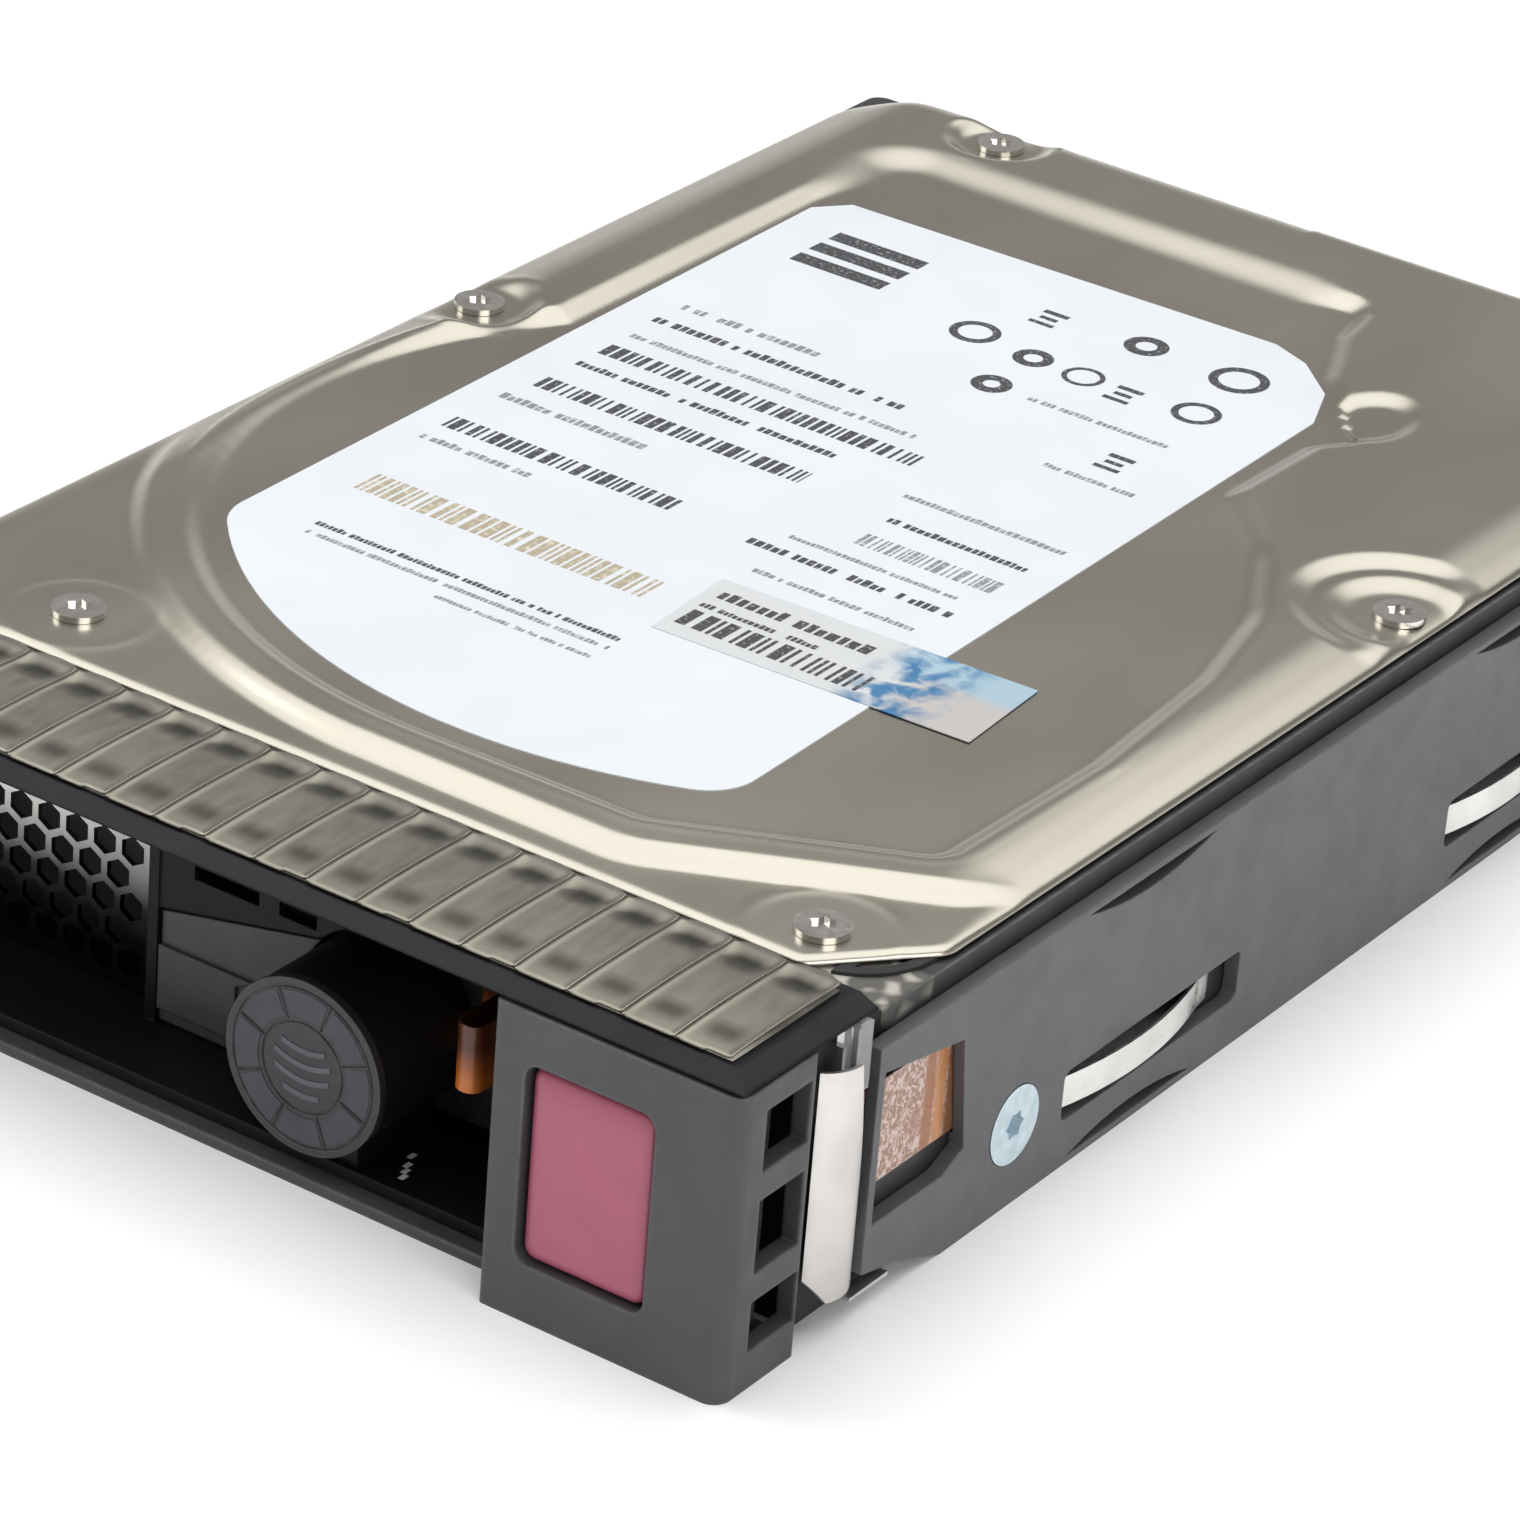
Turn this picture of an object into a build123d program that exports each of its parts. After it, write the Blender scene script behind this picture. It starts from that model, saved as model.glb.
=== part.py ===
from build123d import *
import math
import os

# ---------------------------------------------------------------- driving dimensions, mm
# +X is right seen from the front, -Y is the front, +Z is up.
# The origin is at the middle of the carrier's base.
carrier_length = 168.5
front_y = -carrier_length / 2
rear_y = carrier_length / 2

# the 3.5 inch drive (SFF-8301)
drive_width = 101.6
drive_length = 147.0
drive_bottom_z = 1.0
drive_half = drive_width / 2
drive_front_y = rear_y - drive_length
front_overhang = 1.5
side_hole_z = drive_bottom_z + 6.35
side_hole_from_rear = (28.5, 70.11, 130.1)
bottom_hole_x = 95.25 / 2
bottom_hole_from_rear = (41.28, 41.28 + 44.45)
thread_hole_r = 1.4

# heights in the drive
board_z = (2.0, 3.6)
floor_z = (5.0, 7.0)
rim_z = 25.1
sheet = 0.6
flange_z = 26.0
plateau_z = 27.1
recess_z = 26.1

# cover screws: place and the size of the lowered seat around each
cover_screws_at = [
    (-33.6, 6.0, 4.6),
    (41.4, 3.9, 4.6),
    (-47.0, 77.3, 4.9),
    (47.0, 81.0, 9.0),
    (-33.4, 142.6, 4.6),
    (41.0, 142.6, 4.6),
]
cover_inset = 0.5
cover_corner_r = 8.0

# disks
spindle_x = 0.0
spindle_y = drive_front_y + 51.5
platter_r = 47.5
platter_t = 1.27
platter_pitch = 4.0
platter_count = 3
platter_z0 = 11.0
hub_r = 12.5
chamber_r = 48.3
chamber_front_y = drive_front_y + 86.5

# actuator, parked at rest
pivot_x = 20.0
pivot_y = drive_front_y + 109.0
head_reach = 51.0
arm_angle = 198.0
coil_angle = 38.0
seek_travel = 33.0
arm_half_t = 0.6
pivot_body_r = 8.5
pivot_bore_r = 5.0
pivot_shaft_r = 2.5
coil_z = (14.0, 17.2)
coil_outer_r = 26.5
coil_inner_r = 12.5
coil_half_angle = 17.0

# carrier
rail_outer_x = 52.3
rail_inner_x = 50.9
rail_height = 23.1
rail_front_y = front_y + 17.8
rail_screws_from_rear = (28.5, 130.1)
screw_head_r = 3.4
shank_r = 1.35
slot_length = 26.5
slot_z = (4.3, 8.9)
slot_fronts = (front_y + 45.4, front_y + 105.9)

# front of the carrier
lip_front_y = front_y + 3.8
lever_plate_t = 1.0
block_left_x = 29.6
block_right_x = 51.9
block_depth = 10.0
back_plate_y = front_y + block_depth - 1.2
block_top_z = 26.3
block_wall = 1.6
button_x = (33.0, 44.3)
button_z = (5.2, 21.8)
button_gap = 0.3
button_travel = 1.5
hinge_x = -47.2
hinge_y = front_y + 6.6
pin_r = 1.25
bezel_top_z = (26.6, 27.4)
bezel_floor_z = (1.3, 2.3)
bezel_half = 50.7
bezel_rear_y = drive_front_y - front_overhang - 0.2
roof_rear_y = front_y + 17.6
ledge_z = (24.2, 25.0)
ring_x = 9.3
ring_z = 10.6
ring_r = 7.5
finger_pitch = 4.9
finger_count = 20
strip_left_x = -49.0
strip_top_z = 28.3


# ---------------------------------------------------------------- helpers
def block(x_range, y_range, z_range):
    """A box between two corners."""
    (x0, x1), (y0, y1), (z0, z1) = x_range, y_range, z_range
    middle = Pos((x0 + x1) / 2, (y0 + y1) / 2, (z0 + z1) / 2)
    return middle * Box(x1 - x0, y1 - y0, z1 - z0)


def slab(sketch, z_range):
    """A plan sketch raised between two heights."""
    z0, z1 = z_range
    return extrude(Pos(0, 0, z0) * sketch, z1 - z0, dir=(0, 0, 1))


def front_slab(sketch, y_range):
    """A sketch in X and Z, given depth between two Y values."""
    y0, y1 = y_range
    return extrude(Plane.XZ.offset(-y1) * sketch, y1 - y0, dir=(0, -1, 0))


def side_slab(sketch, x_range):
    """A sketch in Y and Z, given depth between two X values."""
    x0, x1 = x_range
    return extrude(Plane.YZ.offset(x0) * sketch, x1 - x0, dir=(1, 0, 0))


def disc(x, y, radius):
    return Pos(x, y) * Circle(radius)


def rod(x, y, z_range, radius):
    """An upright cylinder."""
    return slab(disc(x, y, radius), z_range)


def tube(x, y, z_range, outer_r, inner_r):
    """An upright tube."""
    return slab(disc(x, y, outer_r) - disc(x, y, inner_r), z_range)


def ring_sector(x, y, radii, angle, half_angle):
    """A sector of a flat ring about a centre, as a sketch."""
    inner_r, outer_r = radii
    reach = 2 * outer_r / math.cos(math.radians(half_angle))
    tips = [
        (x + reach * math.cos(math.radians(a)), y + reach * math.sin(math.radians(a)))
        for a in (angle - half_angle, angle, angle + half_angle)
    ]
    wedge = Polygon((x, y), *tips, align=None)
    return (disc(x, y, outer_r) - disc(x, y, inner_r)) & wedge


def polar(x, y, radius, angle):
    """The point at a radius and an angle in degrees from a centre."""
    turn = math.radians(angle)
    return (x + radius * math.cos(turn), y + radius * math.sin(turn))


def plan(*points):
    """A plan polygon, its points given from the middle of the drive's front edge."""
    return Polygon(*[(x, y + drive_front_y) for x, y in points], align=None)


def rounded(x_range, y_range, radius):
    """A rounded rectangle as a sketch."""
    (x0, x1), (y0, y1) = x_range, y_range
    middle = Pos((x0 + x1) / 2, (y0 + y1) / 2)
    return middle * RectangleRounded(x1 - x0, y1 - y0, radius)


def ribbon(points, radii, width):
    """A band of even width along a bent line, as a sketch."""
    path = FilletPolyline(*points, radius=radii)
    return trace(path, line_width=width)


def helix_spring(radius, wire_r, length, turns):
    """A round-wire coil standing on Z = 0."""
    path = Helix(pitch=length / turns, height=length, radius=radius)
    return sweep(Plane(origin=path @ 0, z_dir=path % 0) * Circle(wire_r), path=path)


def mirrored(shape):
    return mirror(shape, about=Plane.YZ)


def write(node, shape):
    """Write one node, fused where its pieces touch."""
    solids = [s for s in shape.solids() if s.volume > 0]
    whole = solids[0] if len(solids) == 1 else Compound(solids)
    export_step(whole, f"parts/{node}.step")


# ---------------------------------------------------------------- sealed drive: shell
def screw_discs(grow):
    """The lowered seats around the cover screws."""
    seats = Sketch()
    for x, y, seat_r in cover_screws_at:
        seats += disc(x, y + drive_front_y, seat_r + grow)
    return seats


def cover_outline(inset):
    """The cover's outer edge: rounded corners and a cut front right corner."""
    half = drive_half - cover_inset - inset
    y0 = drive_front_y - front_overhang + cover_inset + inset
    y1 = rear_y - cover_inset - inset
    cut_x = 7.5 - 0.5 * inset
    cut_y = 9.0 - 0.5 * inset
    outline = rounded((-half, half), (y0, y1), cover_corner_r - inset)
    cut = [(half - cut_x, y0), (half, y0 + cut_y)]
    return outline + Polygon((0, y0), *cut, (half, 0), (0, 0), align=None)


def recess_outline():
    """The label's recess: the platters' circle, a cut front right corner and a narrow rear."""
    circle = disc(-1.0, 54.0 + drive_front_y, 46.5)
    left_half = plan((-60, 0), (-1, 0), (-1, 90), (-60, 90))
    front_cut = [(-1, 8.2), (21.6, 8.2), (42.2, 18.6)]
    lobe_side = [(42.0, 58.0), (37.0, 75.0), (24.9, 89.4), (-1, 89.4)]
    right = plan(*front_cut, *lobe_side)
    bends = right.vertices().filter_by(lambda v: v.X > 30 and v.Y > spindle_y)
    right = fillet(bends, 9.0)
    rear_end = [(24.9, 106), (20.0, 121.5), (11.0, 133.5), (-39.6, 133.5)]
    rear = plan((-39.6, 80), (24.9, 80), *rear_end)
    rear = fillet(rear.vertices().group_by(Axis.Y)[-1], 4.0)
    return (circle & left_half) + right + rear


def plateau_outline():
    """The raised middle of the cover, with its straight cut at the front right."""
    edge_strip = 1.7
    ridge = plan((-60, -10), (23.5, 2.2), (46.3, 14.0), (46.3, 160), (-60, 160))
    return (cover_outline(edge_strip) & ridge) - screw_discs(0)


def top_cover():
    """Pressed sheet: flange, raised plateau and sunk label recess, all one thickness."""
    holes_r = 1.5
    flange = slab(cover_outline(0), (flange_z - sheet, flange_z))
    raised = slab(plateau_outline(), (flange_z - sheet, plateau_z))
    hollow = slab(offset(plateau_outline(), -sheet), (flange_z - 2 * sheet, plateau_z - sheet))
    pan = slab(offset(recess_outline(), sheet), (recess_z - sheet, plateau_z))
    sunk = slab(recess_outline(), (recess_z, plateau_z + 1))
    cover = (flange + raised - hollow) + (pan & slab(plateau_outline(), (0, plateau_z)))
    cover -= sunk
    for x, y, _ in cover_screws_at:
        cover -= rod(x, y + drive_front_y, (rim_z, plateau_z), holes_r)
    return cover


def cover_gasket():
    """A bead between the rim and the flange, carried inside the screws."""
    near_edge = 0.7
    bead = 1.0
    outer = cover_outline(near_edge) - screw_rings(3.4)
    inner = cover_outline(near_edge + bead) - screw_rings(3.4 + bead)
    return slab(outer - inner, (rim_z, flange_z - sheet))


def screw_rings(radius):
    """Room round the screws; at the front it runs on to the cover's edge."""
    rings = Sketch()
    for x, y, _ in cover_screws_at:
        rings += disc(x, y + drive_front_y, radius)
        if y < 10:
            rings += Pos(x, drive_front_y) * Rectangle(2 * radius, 2 * y)
    return rings


def cover_screws():
    """Low round heads with a star recess, one at each seat."""
    head_r = 2.3
    head_t = 0.55
    length = 5.0
    screws = Part()
    for x, y, _ in cover_screws_at:
        y += drive_front_y
        head = rod(x, y, (flange_z, flange_z + head_t), head_r)
        head -= slab(star(x, y, 1.2), (flange_z + 0.2, flange_z + head_t))
        shank = rod(x, y, (flange_z - length, flange_z), 1.15)
        screws += head + shank
    return screws


def star(x, y, radius):
    """A six-lobed driver recess as a sketch."""
    points = [
        polar(x, y, radius * (1.0 if i % 2 == 0 else 0.72), 30 * i) for i in range(12)
    ]
    return Polygon(*points, align=None)


def base_casting():
    """Aluminium tub: platter well, rear chamber, board recess and threaded holes."""
    tub_front_y = drive_front_y - front_overhang
    footprint = rounded((-drive_half, drive_half), (tub_front_y, rear_y), 1.5)
    body = slab(footprint, (drive_bottom_z, rim_z))
    well = disc(spindle_x, spindle_y, chamber_r)
    chamber = rounded((-48.0, 48.0), (chamber_front_y, rear_y - 3.2), 8.0)
    posts = Sketch()
    for x, y, _ in cover_screws_at[4:]:
        posts += disc(x, y + drive_front_y, 4.6)
    body -= slab(well + chamber - posts, (floor_z[1], rim_z))
    body -= slab(board_recess(), (0, floor_z[0]))
    body -= connector_bay()
    body -= rod(spindle_x, spindle_y, (0, floor_z[1]), 9.0)
    front_pocket = rounded((-36, 36), (drive_front_y + 6, drive_front_y + 38), 5)
    front_pocket -= disc(spindle_x, spindle_y, 19)
    body -= slab(front_pocket, (0, 3.6))
    for x, y, _ in cover_screws_at:
        body -= rod(x, y + drive_front_y, (rim_z - 5.5, rim_z), 1.2)
    for side in (-1, 1):
        for from_rear in side_hole_from_rear:
            body -= Pos(side * (drive_half - 2.0), rear_y - from_rear, side_hole_z) * cross_rod(4.0)
        for from_rear in bottom_hole_from_rear:
            place = (side * bottom_hole_x, rear_y - from_rear)
            body -= rod(*place, (drive_bottom_z, drive_bottom_z + 3.8), thread_hole_r)
    for x, y in board_screw_places():
        body -= rod(x, y, (floor_z[0], floor_z[0] + 1.6), 0.8)
    return body


def cross_rod(length):
    """A hole's cylinder lying along X about its own middle."""
    return Rot(0, 90, 0) * Cylinder(thread_hole_r, length)


def board_recess():
    """The hollow under the floor that takes the circuit board."""
    return rounded((-44.5, 44.5), (drive_front_y + 42, rear_y - 2.4), 2.0)


def connector_bay():
    return block((4.6, 46.6), (rear_y - 9.2, rear_y), (drive_bottom_z, 8.2))


def board_screw_places():
    near, far = drive_front_y + 46, rear_y - 14
    return [(-41.5, near), (41.5, near), (-41.5, far), (0.0, far + 8)]


# ---------------------------------------------------------------- sealed drive: motor and disks
def bearing_sleeve():
    """Fixed sleeve that the hub's shaft turns in, with its flange in the base."""
    sleeve = tube(spindle_x, spindle_y, (3.0, 17.0), 3.6, 2.05)
    flange = tube(spindle_x, spindle_y, (5.0, 7.0), 8.95, 3.0)
    return sleeve + flange + rod(spindle_x, spindle_y, (2.2, 3.0), 3.6)


def stator_core():
    """Laminated ring with nine wound teeth."""
    core = tube(spindle_x, spindle_y, (8.2, 9.6), 5.4, 3.65)
    for i in range(9):
        angle = 40 * i
        tooth = Pos(6.9, 0, 8.9) * Box(3.4, 1.2, 1.4)
        shoe = Pos(8.55, 0, 8.9) * Box(0.7, 3.6, 1.4)
        core += Pos(spindle_x, spindle_y) * Rot(0, 0, angle) * (tooth + shoe)
    return core


def stator_windings():
    """A copper winding round each tooth."""
    coils = Part()
    for i in range(9):
        wound = Pos(6.9, 0, 8.9) * (Box(2.0, 2.6, 2.4) - Box(2.0, 1.22, 1.42))
        coils += Pos(spindle_x, spindle_y) * Rot(0, 0, 40 * i) * wound
    return coils


def platter_z(i):
    """The underside of a platter."""
    return platter_z0 + i * platter_pitch


def top_of_stack():
    return platter_z(platter_count - 1) + platter_t


def spindle_hub():
    """Hub cup over the motor, its seat for the lowest platter, and the shaft."""
    cup = rod(spindle_x, spindle_y, (7.4, top_of_stack()), hub_r)
    cup += rod(spindle_x, spindle_y, (9.3, platter_z0), hub_r + 2.2)
    cup -= rod(spindle_x, spindle_y, (7.4, 10.6), 10.9)
    cup -= rod(spindle_x, spindle_y, (10.6, 17.6), 3.9)
    shaft = rod(spindle_x, spindle_y, (3.2, 17.6), 2.0)
    holes = Part()
    for i in range(6):
        x, y = polar(spindle_x, spindle_y, 8.6, 60 * i)
        holes += rod(x, y, (top_of_stack() - 5.0, top_of_stack()), 0.85)
    return cup - holes + shaft


def rotor_magnet():
    return tube(spindle_x, spindle_y, (7.6, 10.2), 10.9, 9.3)


def platter(i):
    z = platter_z(i)
    return tube(spindle_x, spindle_y, (z, z + platter_t), platter_r, hub_r)


def platter_spacers():
    """A ring between each two platters."""
    rings = Part()
    for i in range(platter_count - 1):
        z = platter_z(i) + platter_t
        rings += tube(spindle_x, spindle_y, (z, platter_z(i + 1)), hub_r + 2.2, hub_r)
    return rings


def disk_clamp():
    """Dished clamp with a hole for each screw."""
    z = top_of_stack()
    clamp = tube(spindle_x, spindle_y, (z, z + 1.4), hub_r + 2.2, 4.0)
    clamp -= tube(spindle_x, spindle_y, (z + 0.9, z + 1.4), 11.0, 6.3)
    for i in range(6):
        x, y = polar(spindle_x, spindle_y, 8.6, 60 * i)
        clamp -= rod(x, y, (z, z + 1.4), 1.1)
    return clamp


def clamp_screws():
    z = top_of_stack() + 0.9
    screws = Part()
    for i in range(6):
        x, y = polar(spindle_x, spindle_y, 8.6, 60 * i)
        screw = rod(x, y, (z, z + 1.0), 1.9) + rod(x, y, (z - 5.0, z), 0.8)
        screws += screw - slab(star(x, y, 0.9), (z + 0.4, z + 1.0))
    return screws


# ---------------------------------------------------------------- sealed drive: actuator
def arm_z(i):
    """The middle height of an arm: halfway between two platters."""
    return platter_z0 - (platter_pitch - platter_t) / 2 + i * platter_pitch


def turned(shape, angle):
    """Place a shape drawn along +X from the pivot at an angle about it."""
    return Pos(pivot_x, pivot_y) * Rot(0, 0, angle) * shape


def actuator_block():
    """Comb of arms on a pivot body, with the fork that holds the coil."""
    arms = platter_count + 1
    low, high = arm_z(0) - arm_half_t, arm_z(arms - 1) + arm_half_t
    body = rod(pivot_x, pivot_y, (low, high), pivot_body_r)
    edge = [(0, -8), (20, -5.2), (33, -3.4)]
    outline = Polygon(*edge, *[(x, -y) for x, y in reversed(edge)], align=None)
    opening = Polygon((14, -3.0), (24, -1.8), (24, 1.8), (14, 3.0), align=None)
    for i in range(arms):
        z = arm_z(i)
        body += turned(slab(outline - opening, (z - arm_half_t, z + arm_half_t)), arm_angle)
    fork = ring_sector(0, 0, (4.0, coil_outer_r + 1.4), 0, coil_half_angle + 3.5)
    body += turned(slab(fork, coil_z), coil_angle)
    body -= turned(slab(coil_sketch(0.05), coil_z), coil_angle)
    body -= turned(slab(coil_window(), coil_z), coil_angle)
    return body - rod(pivot_x, pivot_y, (low, high), pivot_bore_r)


def coil_sketch(grow):
    """The coil's outer edge about the pivot."""
    return ring_sector(0, 0, (coil_inner_r - grow, coil_outer_r + grow), 0, coil_half_angle)


def coil_window():
    return ring_sector(0, 0, (coil_inner_r + 3.4, coil_outer_r - 3.4), 0, coil_half_angle - 8)


def voice_coil():
    return turned(slab(coil_sketch(-0.05) - coil_window(), coil_z), coil_angle)


def head_places():
    """(arm height, +1 for a head facing up or -1 for one facing down)."""
    faces = []
    for i in range(platter_count + 1):
        if i < platter_count:
            faces.append((arm_z(i), 1))
        if i > 0:
            faces.append((arm_z(i), -1))
    return faces


def facing(z, way, low, high):
    """A height range measured from an arm's middle, up or down."""
    return tuple(sorted((z + way * low, z + way * high)))


def suspensions():
    """Base plate, tapered beam and lift tab for each head."""
    plate = Polygon((25, -3.0), (33, -2.9), (33, 2.9), (25, 3.0), align=None)
    edge = [(30, -2.6), (49, -0.8), (54.5, -0.3)]
    beam = Polygon(*edge, *[(x, -y) for x, y in reversed(edge)], align=None)
    pieces = Part()
    for z, way in head_places():
        piece = slab(plate, facing(z, way, arm_half_t, 0.85))
        piece += slab(beam, facing(z, way, 0.85, 0.97))
        pieces += turned(piece, arm_angle)
    return pieces


def head_sliders():
    pieces = Part()
    for z, way in head_places():
        slider = rounded((head_reach - 0.6, head_reach + 0.6), (-0.5, 0.5), 0.05)
        pieces += turned(slab(slider, facing(z, way, 0.97, 1.3)), arm_angle)
    return pieces


def pivot_shaft():
    """Fixed post with a foot that stands on the floor."""
    shaft = rod(pivot_x, pivot_y, (floor_z[1], 23.6), pivot_shaft_r)
    return shaft + rod(pivot_x, pivot_y, (floor_z[1], 8.6), 4.2)


def pivot_bearings():
    """Two ball bearings between the post and the arm block's bore."""
    running = 0.03
    pair = Part()
    for z in (9.4, 19.4):
        pair += tube(pivot_x, pivot_y, (z, z + 2.6), pivot_bore_r - running, pivot_shaft_r)
    return pair


def yoke_sketch(radii, half_angle):
    middle = coil_angle + seek_travel / 2
    return ring_sector(pivot_x, pivot_y, radii, middle, half_angle)


def lower_yoke():
    return slab(yoke_sketch((11.5, 27.0), 37), (floor_z[1], 10.0))


def upper_yoke():
    return slab(yoke_sketch((11.5, 27.0), 37), (20.8, 23.4))


def voice_coil_magnets():
    """One magnet on each yoke, with the coil between."""
    face = yoke_sketch((13.0, 25.6), 30)
    return slab(face, (10.0, 13.2)) + slab(face, (18.0, 20.8))


def yoke_posts():
    """Posts outside the coil's sweep that hold the yokes apart."""
    posts = Part()
    middle = coil_angle + seek_travel / 2
    for turn in (-46, 46):
        x, y = polar(pivot_x, pivot_y, 25.0, middle + turn)
        posts += rod(x, y, (floor_z[1], 23.4), 1.8)
    return posts


def load_ramp():
    """Comb beside the platters that the lift tabs rest on."""
    comb = ring_sector(pivot_x, pivot_y, (52.4, 60.0), arm_angle - 1.0, 4.0)
    comb = slab(comb, (floor_z[1], arm_z(platter_count) + arm_half_t))
    comb -= tube(spindle_x, spindle_y, (0, 30), 48.4, 40)
    tongue = ring_sector(pivot_x, pivot_y, (52.4, 55.2), arm_angle, 5.0)
    root = ring_sector(pivot_x, pivot_y, (55.1, 56.5), arm_angle - 1.0, 3.9)
    clear = slab(ring_sector(pivot_x, pivot_y, (50, 55.4), arm_angle, 9.0), (0, 30))
    comb -= clear
    for i in range(platter_count + 1):
        z = arm_z(i)
        comb += slab(tongue + root, (z - 0.7, z + 0.7))
    return comb


def park_magnet():
    """Small magnet that holds the coil fork when the heads are parked."""
    x, y = polar(pivot_x, pivot_y, coil_outer_r + 3.6, coil_angle + 10)
    return rod(x, y, (floor_z[1], coil_z[1]), 1.6)


def crash_stops():
    """Rubber bumpers at the two ends of the fork's travel."""
    stops = Part()
    reach = 9.8
    first = coil_angle - coil_half_angle - 28
    last = coil_angle + seek_travel + coil_half_angle + 26
    for angle in (first, last):
        x, y = polar(pivot_x, pivot_y, reach + 3.0, angle)
        stops += rod(x, y, (floor_z[1], coil_z[1]), 1.7)
    return stops


def head_flex():
    """Flexible circuit from the connector block towards the arm block."""
    end = polar(pivot_x, pivot_y, pivot_body_r + 0.7, 140)
    points = [(-14.0, pivot_y + 16), (2.0, pivot_y + 22), (12.0, pivot_y + 14), end]
    return slab(ribbon(points, [7, 5], 0.15), (10.5, 19.5))


def flex_connector():
    """Block that carries the head circuit through the floor."""
    body = slab(rounded((-27, -14.2), (pivot_y + 9, pivot_y + 22), 1.5), (floor_z[1], 13.0))
    return body - slab(rounded((-25, -16), (pivot_y + 11, pivot_y + 20), 1.0), (12.0, 13.0))


def recirculation_filter():
    """Pouch that stands in the air stream beside the platters."""
    pouch = Box(12.0, 2.6, 14.0)
    return Pos(-41.0, drive_front_y + 98.5, floor_z[1] + 7.0) * Rot(0, 0, 20) * pouch


def breather_filter():
    place = (-36.0, drive_front_y + 122.0)
    body = rod(*place, (floor_z[1], floor_z[1] + 4.0), 8.0)
    return body - tube(*place, (floor_z[1] + 3.4, floor_z[1] + 4.0), 6.5, 1.0)


# ---------------------------------------------------------------- sealed drive: electronics
def circuit_board():
    """Board under the floor, with its screw holes and a hole for the motor."""
    outline = rounded((-44.2, 44.2), (drive_front_y + 42.3, rear_y - 2.7), 1.5)
    board = slab(outline - disc(spindle_x, spindle_y, 11.0), board_z)
    board -= block((4.3, 46.9), (rear_y - 9.4, rear_y), (0, board_z[1]))
    for x, y in board_screw_places():
        board -= rod(x, y, board_z, 1.1)
    return board


def board_chips():
    """Controller, memory, motor driver and small parts on the board's upper face."""
    z0 = board_z[1]
    sizes = [
        (-14, 46, 14, 14, 1.2),
        (12, 44, 11, 8, 1.0),
        (-32, 20, 8, 8, 1.0),
        (28, 52, 6, 5, 1.0),
        (-34, 54, 5, 6, 1.1),
        (30, 28, 9, 9, 1.1),
    ]
    chips = Part()
    for x, y, wide, deep, tall in sizes:
        chip = Pos(x, y, z0 + tall / 2) * Box(wide, deep, tall)
        chips += chip
    for i in range(12):
        x = -26 + 4.4 * i
        chips += block((x, x + 1.6), (33.0, 33.9), (z0, z0 + 0.6))
    return chips


def board_screws():
    screws = Part()
    for x, y in board_screw_places():
        head = rod(x, y, (board_z[0] - 0.9, board_z[0]), 2.0)
        head -= slab(star(x, y, 1.0), (board_z[0] - 0.9, board_z[0] - 0.4))
        screws += head + rod(x, y, (board_z[0], floor_z[0] + 1.4), 0.75)
    return screws


def rear_connector():
    """Plug-in connector: a shell open to the rear with a keyed tongue and two posts."""
    y_back = rear_y - 9.0
    body = block((4.8, 46.4), (y_back, rear_y), (1.2, 8.0))
    body -= block((7.8, 43.4), (y_back + 2.2, rear_y), (2.4, 7.0))
    tongue = block((8.6, 42.6), (y_back + 2.2, rear_y - 1.2), (4.1, 5.3))
    key = block((8.6, 9.8), (y_back + 2.2, rear_y - 1.2), (2.9, 5.3))
    notch = block((18.0, 20.2), (y_back + 2.2, rear_y), (4.0, 5.4))
    return body + (tongue - notch) + key


# ---------------------------------------------------------------- labels
def main_label():
    """Thin printed label: straight sides, a curved front end and cut rear corners."""
    front_end = [(-36.2, 0), (24.4, 0)]
    rear_right = [(21.9, 109), (19.5, 115), (14.8, 119.5), (10.6, 121.3)]
    rear_left = [(-35.5, 120.3), (-38.0, 117)]
    front_arc = disc(1.0, 59.2 + drive_front_y, 48.5)
    behind_arc = plan((-60, 59.2), (60, 59.2), (60, 130), (-60, 130))
    outline = plan(*front_end, *rear_right, *rear_left) & (front_arc + behind_arc)
    outline = fillet(outline.vertices().sort_by(Axis.Y)[0], 5.0)
    outline = fillet(corner_at(outline, -36.6, 28.5), 6.0)
    return slab(outline, (recess_z, recess_z + 0.1))


def corner_at(sketch, x, y):
    """The corner of a sketch nearest to a place on the drive's plan."""
    place = Vertex(x, y + drive_front_y, 0)
    return min(sketch.vertices(), key=lambda v: v.distance_to(place))


def small_label():
    """Small asset sticker over the main label's right edge."""
    sticker = plan((1.6, 46.9), (2.4, 35.6), (33.0, 36.6), (32.2, 48.0))
    return slab(sticker, (recess_z + 0.1, recess_z + 0.18))


# ---------------------------------------------------------------- carrier: rails
def rail_profile():
    """The rail's side view, with its raised lower front."""
    y0, y1 = rail_front_y, rear_y
    return Polygon(
        (y0, 3.4),
        (front_y + 23.2, 2.3),
        (front_y + 29.0, 0),
        (y1, 0),
        (y1, rail_height - 1.0),
        (y1 - 1.0, rail_height),
        (y0, rail_height),
        align=None,
    )


def window_outline():
    """The opening near the rail's front that shows the flexible circuit."""
    corners = [(18.6, 20.8), (29.6, 18.9), (31.0, 8.6), (28.2, 7.4), (18.6, 7.4)]
    return Polygon(*[(front_y + y, z) for y, z in corners], align=None)


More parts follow.
